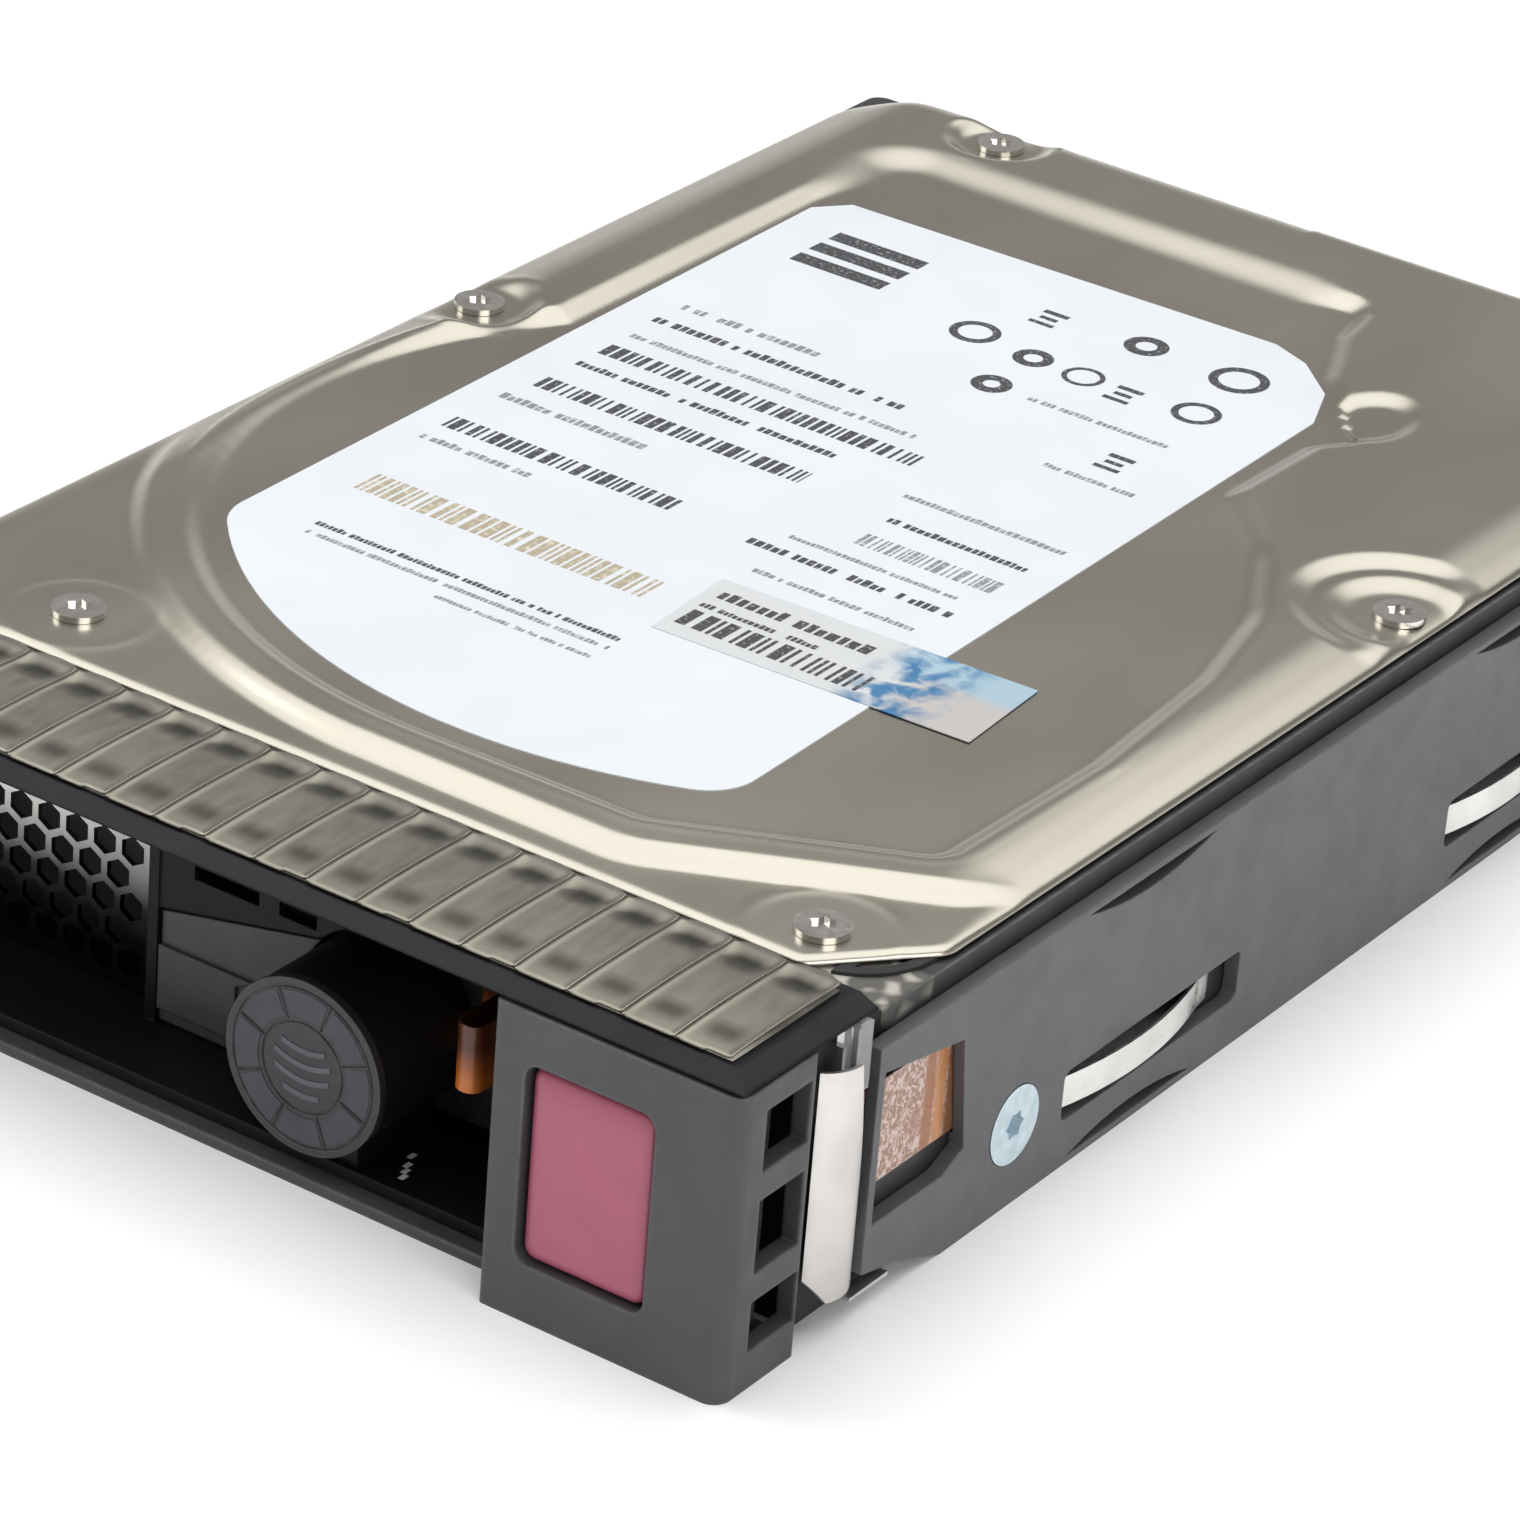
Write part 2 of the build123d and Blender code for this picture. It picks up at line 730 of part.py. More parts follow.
def lens(y_middle, z_edge, bulge_way):
    """A thin lens-shaped scoop along the rail's edge."""
    half, depth = 9.5, 1.3
    radius = (half**2 + depth**2) / (2 * depth)
    centre_z = z_edge - bulge_way * (radius - depth)
    band = Pos(y_middle, z_edge + bulge_way * depth / 2) * Rectangle(2 * half, depth)
    return (Pos(y_middle, centre_z) * Circle(radius)) & band


def right_rail():
    """Side rail: wall, inward lip, spring slots, circuit window and screw holes."""
    rail = side_slab(rail_profile(), (rail_inner_x, rail_outer_x))
    lip = block((49.6, rail_outer_x), (front_y + 29.0, rear_y), (0, 0.9))
    rail += lip
    channel = block((rail_inner_x, rail_inner_x + 0.35), (rail_front_y, rear_y), (9.6, 19.4))
    rail -= channel
    rail -= side_slab(window_outline(), (rail_inner_x, rail_outer_x))
    for y in slot_fronts:
        slot = rounded((y, y + slot_length), slot_z, 0.8)
        rail -= side_slab(slot, (rail_inner_x, rail_outer_x))
        for z_edge, way in ((rail_height - 0.5, -1), (0.6, 1)):
            scoop = lens(y + slot_length * 0.4, z_edge, way)
            rail -= side_slab(scoop, (rail_inner_x, rail_outer_x))
    for from_rear in rail_screws_from_rear:
        sink = Rot(0, 90, 0) * Cone(1.7, screw_head_r + 0.15, rail_outer_x - rail_inner_x)
        middle_x = (rail_outer_x + rail_inner_x) / 2
        rail -= Pos(middle_x, rear_y - from_rear, side_hole_z) * sink
    return rail


def right_rail_springs():
    """A bow spring in each slot, clipped at its front end and free at the rear."""
    springs = Part()
    thick = 0.25
    for y in slot_fronts:
        bow = ThreePointArc((51.55, y + 0.4), (52.75, y + 10.5), (51.3, y + 21.5))
        hook = Line((51.3, y + 21.5), (50.98, y + 23.5))
        strip = trace(bow + hook, line_width=thick)
        springs += slab(strip, (slot_z[0] + 0.9, slot_z[1] - 0.9))
    return springs


def mounting_screws():
    """Countersunk screws through the rails into the drive's side holes."""
    screws = Part()
    for side in (-1, 1):
        for from_rear in rail_screws_from_rear:
            head = Pos(rail_outer_x - 0.7, 0, 0) * Rot(0, 90, 0) * Cone(shank_r, screw_head_r, 1.4)
            shank = Pos(49.3, 0, 0) * Rot(0, 90, 0) * Cylinder(shank_r, 4.8)
            screw = head + shank - side_slab(star(0, 0, 1.3), (rail_outer_x - 0.9, rail_outer_x))
            screw = screw if side > 0 else mirrored(screw)
            screws += Pos(0, rear_y - from_rear, side_hole_z) * screw
    return screws


# ---------------------------------------------------------------- carrier: front
def bezel_body():
    """Black moulding: roof, floor, side walls and the dark walls behind the indicator."""
    under_roof = bezel_top_z[0]
    floor = block((-bezel_half, block_left_x - 0.4), (front_y + 5.4, bezel_rear_y), bezel_floor_z)
    floor += block((block_left_x - 1, bezel_half), (front_y + 11.0, bezel_rear_y), bezel_floor_z)
    right_wall = block((49.2, bezel_half), (front_y + 11.0, bezel_rear_y), (1.3, under_roof))
    left_wall = block((-bezel_half, -49.2), (front_y + 13.0, bezel_rear_y), (1.3, under_roof))
    inner_wall = block((-12.6, 49.2), (roof_rear_y, front_y + 18.8), (2.3, under_roof))
    divider = block((-13.4, -12.4), (front_y + 12.6, bezel_rear_y), (2.3, under_roof))
    block_wall_left = block((27.9, 29.1), (front_y + 7.0, roof_rear_y), (2.3, under_roof))
    shelf = block((29.1, 49.2), (front_y + 11.0, front_y + 12.2), (2.3, under_roof))
    body = floor + right_wall + left_wall + inner_wall + divider + block_wall_left + shelf
    body -= block((-60, 60), (roof_rear_y, bezel_rear_y + 1), (ledge_z[1], 30))
    body += bezel_roof() + bracket_shade()
    body -= block((34.0, 44.0), (front_y + 10.0, front_y + 12.3), (12.0, 17.0))
    body -= flex_slot()
    body -= rod(hinge_x, hinge_y, (0, under_roof), 6.2)
    body += hinge_ear() + lever_latch_tongue()
    for i in range(5):
        x = -8.0 + 5.2 * i
        body -= block((x, x + 3.4), (front_y + 4.4, front_y + 5.4), bezel_top_z)
    body -= rod(hinge_x, hinge_y, (0, 30), pin_r)
    return body


def bezel_roof():
    """Roof with sloped front and right edges, stepping down to a ledge before the drive."""
    low, high = bezel_top_z
    tip_y, slope_y = front_y + 0.3, front_y + 2.3
    tip_x, slope_x = bezel_half + 1.1, bezel_half - 0.7
    depth = Polygon((tip_y, low), (roof_rear_y, low), (roof_rear_y, high), (slope_y, high), align=None)
    width = Polygon((-bezel_half, low), (tip_x, low), (slope_x, high), (-bezel_half, high), align=None)
    roof = side_slab(depth, (-bezel_half, tip_x)) & front_slab(width, (tip_y, roof_rear_y))
    step = block((-bezel_half, bezel_half), (roof_rear_y - 0.8, roof_rear_y), (ledge_z[0], low))
    ledge = block((-bezel_half, bezel_half), (roof_rear_y - 0.8, bezel_rear_y), ledge_z)
    return roof + step + ledge


def bracket_shade():
    """Dark plate hanging from the roof over the grey bracket, with two slots."""
    corners = [(-12.4, 12.7), (6.0, 16.5), (6.0, bezel_top_z[0]), (-12.4, bezel_top_z[0])]
    plate = Polygon(*corners, align=None) - Pos(ring_x, ring_z) * Circle(ring_r + 0.3)
    for x0, x1 in ((-9.0, -2.5), (-0.5, 3.2)):
        plate -= Pos((x0 + x1) / 2, 17.1) * Rectangle(x1 - x0, 1.2)
    return front_slab(plate, (front_y + 12.8, front_y + 14.0))


def flex_slot():
    """Gaps in the walls that the flexible circuit passes through."""
    through_left = block((27.8, 29.2), (front_y + 15.4, front_y + 17.7), (9.6, 19.4))
    through_right = block((49.1, bezel_half), (front_y + 14.6, bezel_rear_y), (9.6, 19.4))
    return through_left + through_right


def hinge_ear():
    """Lower ear that the hinge pin stands in, on a neck from the floor."""
    ear = disc(hinge_x, hinge_y, 3.2)
    neck = rounded((hinge_x - 1.8, hinge_x + 1.8), (hinge_y, hinge_y + 8.0), 0.5)
    return slab(ear + neck, bezel_floor_z)


def lever_latch_tongue():
    """Stub behind the block that the lever's hook snaps beside."""
    return block((45.2, 46.4), (front_y + 12.2, front_y + 15.5), (11.0, 18.0))


def vent_grille():
    """Steel sheet with rows of hexagonal holes."""
    y = front_y + 15.2
    x0, x1, z0, z1 = -48.6, -13.6, 2.5, 26.4
    cell = 2.9
    sheet_t = 0.5
    holes = []
    rows = int((z1 - z0 - 2.0) / (cell * 0.87))
    for row in range(rows):
        z = z0 + 2.3 + row * cell * 0.87
        shift = cell / 2 if row % 2 else 0
        count = int((x1 - x0 - 3.0 - shift) / cell)
        for i in range(count):
            holes.append((x0 + 2.4 + shift + i * cell, z))
    face = Polygon((x0, z0), (x1, z0), (x1, z1), (x0, z1), align=None)
    hexagon = Rot(0, 0, 30) * RegularPolygon(1.32, 6)
    hexagons = Sketch() + [Pos(x, z) * hexagon for x, z in holes]
    return front_slab(face - hexagons, (y, y + sheet_t))


def ring_bracket():
    """Grey bracket left of the indicator: a rising plate with a raised panel at its foot."""
    foot = [(-12.2, 2.5), (3.0, 2.5), (3.0, 5.0), (-3.6, 5.0), (-3.6, 8.2)]
    plate = Polygon(*foot, (2.0, 10.5), (4.0, 15.8), (-12.2, 12.4), align=None)
    panel = Polygon((-12.2, 3.7), (-4.4, 3.7), (-4.4, 8.6), (-2.4, 9.5), (-12.2, 9.5), align=None)
    clear = Pos(ring_x, ring_z) * Circle(ring_r + 0.2)
    rear = front_slab(plate - clear, (front_y + 13.0, front_y + 14.0))
    return rear + front_slab(panel, (front_y + 12.6, front_y + 13.0))


def ring_barrel():
    """Dark tube that carries the indicator, closed at the rear."""
    circle = Pos(ring_x, ring_z) * Circle(ring_r - 0.1)
    bore = Pos(ring_x, ring_z) * Circle(ring_r - 1.3)
    barrel = front_slab(circle, (front_y + 4.6, front_y + 15.6))
    barrel -= front_slab(bore, (front_y + 4.6, front_y + 14.4))
    foot = block((ring_x - 4, ring_x + 4), (front_y + 6.0, front_y + 15.6), (2.3, 4.4))
    return barrel + (foot - front_slab(circle, (front_y + 4, front_y + 16)))


def activity_ring_lens():
    """Round indicator face with a segmented ring and a bowed grid."""
    y0 = front_y + 3.8
    face = front_slab(Pos(ring_x, ring_z) * Circle(ring_r), (y0, y0 + 0.8))
    groove_depth = 0.15
    for radius in (6.9, 4.0):
        groove = Pos(ring_x, ring_z) * (Circle(radius) - Circle(radius - 0.25))
        face -= front_slab(groove, (y0, y0 + groove_depth))
    for i in range(8):
        spoke = Rot(0, 0, 45 * i + 22.5) * Pos(5.35, 0) * Rectangle(2.5, 0.25)
        face -= front_slab(Pos(ring_x, ring_z) * spoke, (y0, y0 + groove_depth))
    return face


def indicator_board():
    """Small upright circuit board behind the barrel, with its lamps."""
    y0 = front_y + 16.0
    board = block((-4.0, 24.4), (y0, y0 + 0.8), (3.2, 21.0))
    for x, z in ((21.5, 5.5), (1.0, 18.0), (23.0, 19.6)):
        board += block((x - 0.8, x + 0.8), (y0 - 0.7, y0), (z - 0.5, z + 0.5))
    return board


def flex_circuit():
    """Amber flexible circuit: loop beside the block, run behind it, then along the rail."""
    y_run = front_y + 16.5
    x_side = rail_inner_x + 0.18
    y_board = front_y + 15.9
    y_loop = front_y + 7.6
    points = [
        (17.2, y_board),
        (20.6, y_board),
        (20.6, y_loop),
        (22.8, y_loop),
        (22.8, y_board - 0.6),
        (27.6, y_run),
        (x_side, y_run),
        (x_side, rear_y - 8.0),
    ]
    circuit = slab(ribbon(points, [1.5, 1.0, 1.0, 1.0, 2.0, 2.4], 0.15), (10.0, 19.0))
    for z_range in ((9.0, 11.8), (17.6, 20.0)):
        circuit -= block((19.5, 24.5), (front_y + 7.0, front_y + 13.0), z_range)
    return circuit


def light_pipe():
    """Clear upright guide between the rail and the side contact strip."""
    guide = block((rail_inner_x, 52.1), (front_y + 14.6, front_y + 16.6), (20.4, 26.2))
    return guide + block((rail_inner_x, 51.5), (front_y + 13.6, front_y + 14.6), (24.8, 26.2))


def emi_top_strip():
    """Row of arched spring fingers on one sheet, clipped over the roof's front edge."""
    y0, y1 = front_y + 2.4, front_y + 17.4
    width = finger_count * finger_pitch
    x1 = strip_left_x + width
    base_z = bezel_top_z[1]
    base = block((strip_left_x, x1), (y0, y1), (base_z, base_z + 0.25))
    crown = ((y0 + y1) / 2, strip_top_z - 0.12)
    arch = ThreePointArc((y0 + 0.6, base_z + 0.12), crown, (y1 - 0.4, base_z + 0.12))
    fingers = side_slab(trace(arch, line_width=0.24), (strip_left_x, x1))
    for i in range(finger_count - 1):
        x = strip_left_x + (i + 1) * finger_pitch
        fingers -= block((x - 0.3, x + 0.3), (y0, y1), (base_z + 0.25, strip_top_z + 1))
    fingers = fingers - block((strip_left_x, x1), (y0, y1), (0, base_z + 0.1))
    return base + fingers


def right_side_strip():
    """Bowed side contact strip, wider at its foot, with a tab turned under the rail."""
    bow = ThreePointArc((50.95, front_y + 11.6), (52.55, front_y + 14.2), (51.0, front_y + 17.5))
    strip = slab(trace(bow, line_width=0.3), (3.2, 23.4))
    slope = [(front_y + 14.6, 24), (front_y + 17.8, 5)]
    trim = Polygon(*slope, (front_y + 20, 5), (front_y + 20, 24), align=None)
    foot_cut = Polygon((front_y + 11, 3), (front_y + 13.2, 3), (front_y + 11, 6), align=None)
    strip -= side_slab(trim + foot_cut, (50, 54))
    strip += block((50.95, 51.35), (front_y + 16.4, front_y + 17.5), (1.7, 4.0))
    return strip + block((50.95, 52.3), (front_y + 16.4, front_y + 21.6), (1.7, 2.0))


def emi_side_strips():
    """Side contact strips on both sides of the bezel."""
    right = right_side_strip()
    left = Pos(0, 2.0, 0) * mirrored(right)
    left -= block((-54, -50), (rail_front_y - 0.1, 0), (0, 30))
    return right + left


def rear_contact_block():
    """Contact block at the end of the flexible circuit."""
    x_range = (rail_inner_x + 0.02, rail_inner_x + 0.3)
    return block(x_range, (rear_y - 7.6, rear_y - 0.4), (10.0, 19.0))


# ---------------------------------------------------------------- carrier: ejector lever
def lever_block():
    """Hollow block at the lever's free end, with the button's opening and side slots."""
    y0 = front_y
    y1 = front_y + block_depth
    outer = rounded((block_left_x, block_right_x), (y0, y1), 0.6)
    outer -= round_off(block_right_x, y0, 1.6)
    shell = slab(outer, (0, block_top_z))
    inner = block(
        (block_left_x + block_wall, block_right_x - block_wall),
        (y0 + block_wall, y1 + 1),
        (block_wall, block_top_z - block_wall),
    )
    shell -= inner
    opening = rounded(
        (button_x[0] - button_gap, button_x[1] + button_gap),
        (button_z[0] - button_gap, button_z[1] + button_gap),
        1.3,
    )
    shell -= front_slab(opening, (y0 - 1, y0 + 2))
    for (ya, yb), (za, zb) in side_notches():
        shell -= block((block_right_x - 3, block_right_x + 1), (y0 + ya, y0 + yb), (za, zb))
    back_plate = block((31.2, 48.0), (back_plate_y, y1), (block_wall, block_top_z - block_wall))
    hook = block((42.2, 43.6), (y1, y1 + 3.6), (13.0, 16.0))
    return shell + back_plate + hook


def round_off(x, y, radius):
    """What a rounded front right corner takes away from a plan outline."""
    corner = Pos(x - radius / 2, y + radius / 2) * Rectangle(radius, radius)
    return corner - disc(x - radius, y + radius, radius)


def side_notches():
    """Openings in the block's right side: (depth range, height range)."""
    return [((3.4, 9.2), (18.9, 24.2)), ((3.4, 9.2), (10.1, 16.5)), ((3.4, 9.4), (3.3, 7.7))]


def lever_column():
    """Hinge column at the lever's left end, relieved for the spring and the floor's ear."""
    pad = rounded((-52.0, -42.6), (front_y + 1.9, hinge_y + 3.4), 3.0)
    column = slab(pad + disc(hinge_x, hinge_y, 4.7), (0, block_top_z))
    tooth = Polygon((-51.6, front_y + 3.6), (-52.7, front_y + 5.4), (-51.4, front_y + 8.4), align=None)
    column += slab(tooth, (8.0, 18.0))
    neck_room = rounded((hinge_x - 8, hinge_x + 3), (hinge_y - 0.5, hinge_y + 8), 0.4)
    ear_room = disc(hinge_x, hinge_y, 3.6) + neck_room
    column -= slab(ear_room, (lever_plate_t, bezel_floor_z[1] + 0.3))
    column -= rod(hinge_x, hinge_y, (9.0, 17.6), 3.3)
    column -= block((hinge_x - 8, hinge_x + 8), (hinge_y, hinge_y + 8), (9.0, 17.6))
    return column


def ejector_lever():
    """L-shaped lever: hinge column, rim bar under the window and the button block."""
    bar = block((-47.0, block_left_x + 1), (lip_front_y, front_y + 9.6), (0, lever_plate_t))
    lever = lever_column() + bar + lever_block()
    return lever - rod(hinge_x, hinge_y, (0, block_top_z), pin_r + 0.05)


def lever_hinge_pin():
    return rod(hinge_x, hinge_y, (0.2, bezel_top_z[1] - 0.1), pin_r)


def lever_spring():
    """Torsion coil around the hinge pin."""
    return Pos(hinge_x, hinge_y, 10.2) * helix_spring(2.1, 0.3, 5.6, 7)


def button_outline(grow, radius):
    """The button's front outline, grown or shrunk all round."""
    x_range = (button_x[0] - grow, button_x[1] + grow)
    return rounded(x_range, (button_z[0] - grow, button_z[1] + grow), radius)


def button_middle():
    return ((button_x[0] + button_x[1]) / 2, (button_z[0] + button_z[1]) / 2)


def release_button():
    """Push button: a hollow cap, a flange that keeps it in the block, and a spring peg."""
    face_y = front_y + 0.3
    skirt_y = front_y + 4.2
    flange_y = (front_y + block_wall + 0.2, front_y + 2.8)
    button = front_slab(button_outline(0, 1.1), (face_y, skirt_y))
    button += front_slab(button_outline(0.9, 1.1), flange_y)
    button -= front_slab(button_outline(-1.2, 0.6), (face_y + 1.5, skirt_y))
    peg_end = back_plate_y - button_travel - 2.1
    peg = front_slab(Pos(*button_middle()) * Circle(1.3), (face_y + 1.2, peg_end))
    return button + peg


def button_spring():
    """Return spring between the button and the block's back plate."""
    x, z = button_middle()
    coil = helix_spring(2.1, 0.25, 6.2, 6)
    return Pos(x, front_y + 2.2, z) * Rot(-90, 0, 0) * coil


# ---------------------------------------------------------------- all nodes
def build():
    nodes = {
        "base_casting": base_casting(),
        "top_cover": top_cover(),
        "cover_gasket": cover_gasket(),
        "cover_screws": cover_screws(),
        "bearing_sleeve": bearing_sleeve(),
        "stator_core": stator_core(),
        "stator_windings": stator_windings(),
        "spindle_hub": spindle_hub(),
        "rotor_magnet": rotor_magnet(),
        "platter_spacers": platter_spacers(),
        "disk_clamp": disk_clamp(),
        "clamp_screws": clamp_screws(),
        "actuator_block": actuator_block(),
        "suspensions": suspensions(),
        "head_sliders": head_sliders(),
        "voice_coil": voice_coil(),
        "pivot_shaft": pivot_shaft(),
        "pivot_bearings": pivot_bearings(),
        "lower_yoke": lower_yoke(),
        "upper_yoke": upper_yoke(),
        "voice_coil_magnets": voice_coil_magnets(),
        "yoke_posts": yoke_posts(),
        "load_ramp": load_ramp(),
        "park_magnet": park_magnet(),
        "crash_stops": crash_stops(),
        "head_flex": head_flex(),
        "flex_connector": flex_connector(),
        "recirculation_filter": recirculation_filter(),
        "breather_filter": breather_filter(),
        "circuit_board": circuit_board(),
        "board_chips": board_chips(),
        "board_screws": board_screws(),
        "rear_connector": rear_connector(),
        "main_label": main_label(),
        "small_label": small_label(),
        "right_rail": right_rail(),
        "left_rail": mirrored(right_rail()),
        "right_rail_springs": right_rail_springs(),
        "left_rail_springs": mirrored(right_rail_springs()),
        "mounting_screws": mounting_screws(),
        "bezel_body": bezel_body(),
        "vent_grille": vent_grille(),
        "ring_bracket": ring_bracket(),
        "ring_barrel": ring_barrel(),
        "activity_ring_lens": activity_ring_lens(),
        "indicator_board": indicator_board(),
        "flex_circuit": flex_circuit(),
        "light_pipe": light_pipe(),
        "emi_top_strip": emi_top_strip(),
        "emi_side_strips": emi_side_strips(),
        "rear_contact_block": rear_contact_block(),
        "ejector_lever": ejector_lever(),
        "lever_hinge_pin": lever_hinge_pin(),
        "lever_spring": lever_spring(),
        "release_button": release_button(),
        "button_spring": button_spring(),
    }
    for i in range(platter_count):
        nodes[f"platter_{i + 1}"] = platter(i)
    return nodes


os.makedirs("parts", exist_ok=True)
for node, shape in build().items():
    write(node, shape)
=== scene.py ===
import math
import random

import bmesh
import bpy
import numpy as np
from mathutils import Matrix, Vector


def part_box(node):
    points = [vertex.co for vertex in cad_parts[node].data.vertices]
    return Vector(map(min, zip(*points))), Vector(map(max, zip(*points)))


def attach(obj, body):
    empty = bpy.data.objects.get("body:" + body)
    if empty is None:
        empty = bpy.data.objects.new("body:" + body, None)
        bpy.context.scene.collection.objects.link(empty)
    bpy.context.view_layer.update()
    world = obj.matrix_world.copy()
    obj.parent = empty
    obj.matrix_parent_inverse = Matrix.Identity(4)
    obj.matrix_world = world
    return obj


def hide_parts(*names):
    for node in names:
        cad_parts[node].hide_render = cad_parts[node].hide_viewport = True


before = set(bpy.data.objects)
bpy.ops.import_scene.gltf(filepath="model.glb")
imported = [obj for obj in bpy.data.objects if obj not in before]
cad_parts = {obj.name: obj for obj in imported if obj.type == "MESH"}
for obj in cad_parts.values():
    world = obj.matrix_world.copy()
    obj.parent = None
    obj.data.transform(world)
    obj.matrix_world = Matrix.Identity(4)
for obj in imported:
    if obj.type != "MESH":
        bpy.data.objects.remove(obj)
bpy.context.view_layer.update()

MM = 0.001
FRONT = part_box("ejector_lever")[0].y / MM
# the casting starts this far ahead of the drive's nominal front edge, mm
TUB_OVERHANG = 1.5
STRIP_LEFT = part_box("emi_top_strip")[0].x / MM
FINGER_PITCH = 4.9
FINGERS = 20
DRIVE_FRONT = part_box("base_casting")[0].y / MM + TUB_OVERHANG


# ---------------------------------------------------------------- procedural finishes
class Finish:
    """One procedural material: a Principled shader and short ways to add texture to it."""

    def __init__(self, name, colour, metal=0.0, rough=0.5, **extra):
        self.material = bpy.data.materials.new(name + "_finish")
        self.material.use_nodes = True
        self.tree = self.material.node_tree
        self.shader = self.tree.nodes["Principled BSDF"]
        self.colour = (*colour, 1.0)
        self.shader.inputs["Base Color"].default_value = self.colour
        self.shader.inputs["Metallic"].default_value = metal
        self.shader.inputs["Roughness"].default_value = rough
        for key, value in extra.items():
            self.shader.inputs[key.replace("_", " ").title()].default_value = value
        self.place = self.node("ShaderNodeTexCoord").outputs["Object"]
        self.normal = None

    def node(self, kind, **settings):
        node = self.tree.nodes.new(kind)
        for key, value in settings.items():
            setattr(node, key, value)
        return node

    def put(self, socket, value):
        if isinstance(value, bpy.types.NodeSocket):
            self.tree.links.new(value, socket)
        else:
            socket.default_value = value

    def stretched(self, size):
        """Object coordinates counted in cells of the given size, mm along X, Y and Z."""
        cells = size if isinstance(size, tuple) else (size, size, size)
        mapping = self.node("ShaderNodeMapping")
        self.put(mapping.inputs["Vector"], self.place)
        mapping.inputs["Scale"].default_value = [1.0 / (c * MM) for c in cells]
        return mapping.outputs["Vector"]

    def noise(self, size, detail=3.0, distortion=0.0):
        noise = self.node("ShaderNodeTexNoise")
        self.put(noise.inputs["Vector"], self.stretched(size))
        noise.inputs["Scale"].default_value = 1.0
        noise.inputs["Detail"].default_value = detail
        noise.inputs["Distortion"].default_value = distortion
        return noise.outputs["Fac"]

    def cells(self, size, feature="F1", randomness=1.0):
        voronoi = self.node("ShaderNodeTexVoronoi", feature=feature)
        self.put(voronoi.inputs["Vector"], self.stretched(size))
        voronoi.inputs["Scale"].default_value = 1.0
        voronoi.inputs["Randomness"].default_value = randomness
        return voronoi.outputs["Distance"]

    def span(self, value, low, high, to_low=0.0, to_high=1.0):
        reach = self.node("ShaderNodeMapRange")
        settings = (value, low, high, to_low, to_high)
        for socket, setting in zip(reach.inputs, settings):
            self.put(socket, setting)
        return reach.outputs[0]

    def maths(self, operation, a, b=0.0):
        node = self.node("ShaderNodeMath", operation=operation)
        self.put(node.inputs[0], a)
        self.put(node.inputs[1], b)
        return node.outputs[0]

    def axis(self, letter):
        split = self.node("ShaderNodeSeparateXYZ")
        self.put(split.inputs[0], self.place)
        return split.outputs[letter]

    def inside(self, letter, low, high, soft=0.05):
        """1 between two places along an axis, mm, and 0 outside them."""
        at = self.axis(letter)
        rise = self.span(at, (low - soft) * MM, (low + soft) * MM)
        fall = self.span(at, (high - soft) * MM, (high + soft) * MM, 1.0, 0.0)
        return self.maths("MULTIPLY", rise, fall)

    def tint(self, mask, colour):
        """The base colour turns to another where the mask is 1."""
        mix = self.node("ShaderNodeMix", data_type="RGBA")
        base = self.shader.inputs["Base Color"]
        before = base.links[0].from_socket if base.links else tuple(base.default_value)
        self.put(mix.inputs[0], mask)
        self.put(mix.inputs[6], before)
        self.put(mix.inputs[7], (*colour, 1.0))
        self.put(base, mix.outputs[2])
        return self

    def mottle(self, size, amount, detail=1.5):
        """Slow change of lightness over the surface."""
        dark = tuple(c * (1 - amount) for c in self.colour[:3])
        light = tuple(min(1.0, c * (1 + amount)) for c in self.colour[:3])
        self.shader.inputs["Base Color"].default_value = (*light, 1.0)
        return self.tint(self.span(self.noise(size, detail), 0.3, 0.7, 1.0, 0.0), dark)

    def gloss(self, size, low, high, detail=4.0):
        """Roughness wanders between two values."""
        self.put(self.shader.inputs["Roughness"], self.span(self.noise(size, detail), 0.3, 0.7, low, high))
        return self

    def bump(self, height, strength, depth=0.02):
        bump = self.node("ShaderNodeBump")
        bump.inputs["Strength"].default_value = strength
        bump.inputs["Distance"].default_value = depth * MM
        self.put(bump.inputs["Height"], height)
        if self.normal is not None:
            self.put(bump.inputs["Normal"], self.normal)
        self.normal = bump.outputs["Normal"]
        self.put(self.shader.inputs["Normal"], self.normal)
        return self

    def grain(self, size, strength, depth=0.02, detail=3.0):
        return self.bump(self.noise(size, detail), strength, depth)

    def soft_edges(self, radius, wear=None, amount=0.6):
        """Edges shade as if rounded, and show wear of another colour where they are sharp."""
        bevel = self.node("ShaderNodeBevel", samples=4)
        bevel.inputs["Radius"].default_value = radius * MM
        self.normal = bevel.outputs["Normal"]
        self.put(self.shader.inputs["Normal"], self.normal)
        if wear:
            face = self.node("ShaderNodeNewGeometry").outputs["Normal"]
            dot = self.node("ShaderNodeVectorMath", operation="DOT_PRODUCT")
            self.put(dot.inputs[0], self.normal)
            self.put(dot.inputs[1], face)
            edge = self.span(dot.outputs["Value"], 0.995, 0.85)
            patchy = self.span(self.noise(1.5, 4.0), 0.35, 0.6, 0.2, amount)
            self.tint(self.maths("MULTIPLY", edge, patchy), wear)
        return self


def metal(name, colour, rough, blotch=8.0, lines=(0.25, 6.0, 0.25)):
    """Bare metal with faint drawn lines and uneven gloss."""
    finish = Finish(name, colour, metal=1.0, rough=rough)
    finish.mottle(blotch, 0.08)
    finish.gloss(blotch / 3, rough * 0.75, rough * 1.3)
    return finish.grain(lines, 0.25, 0.01)


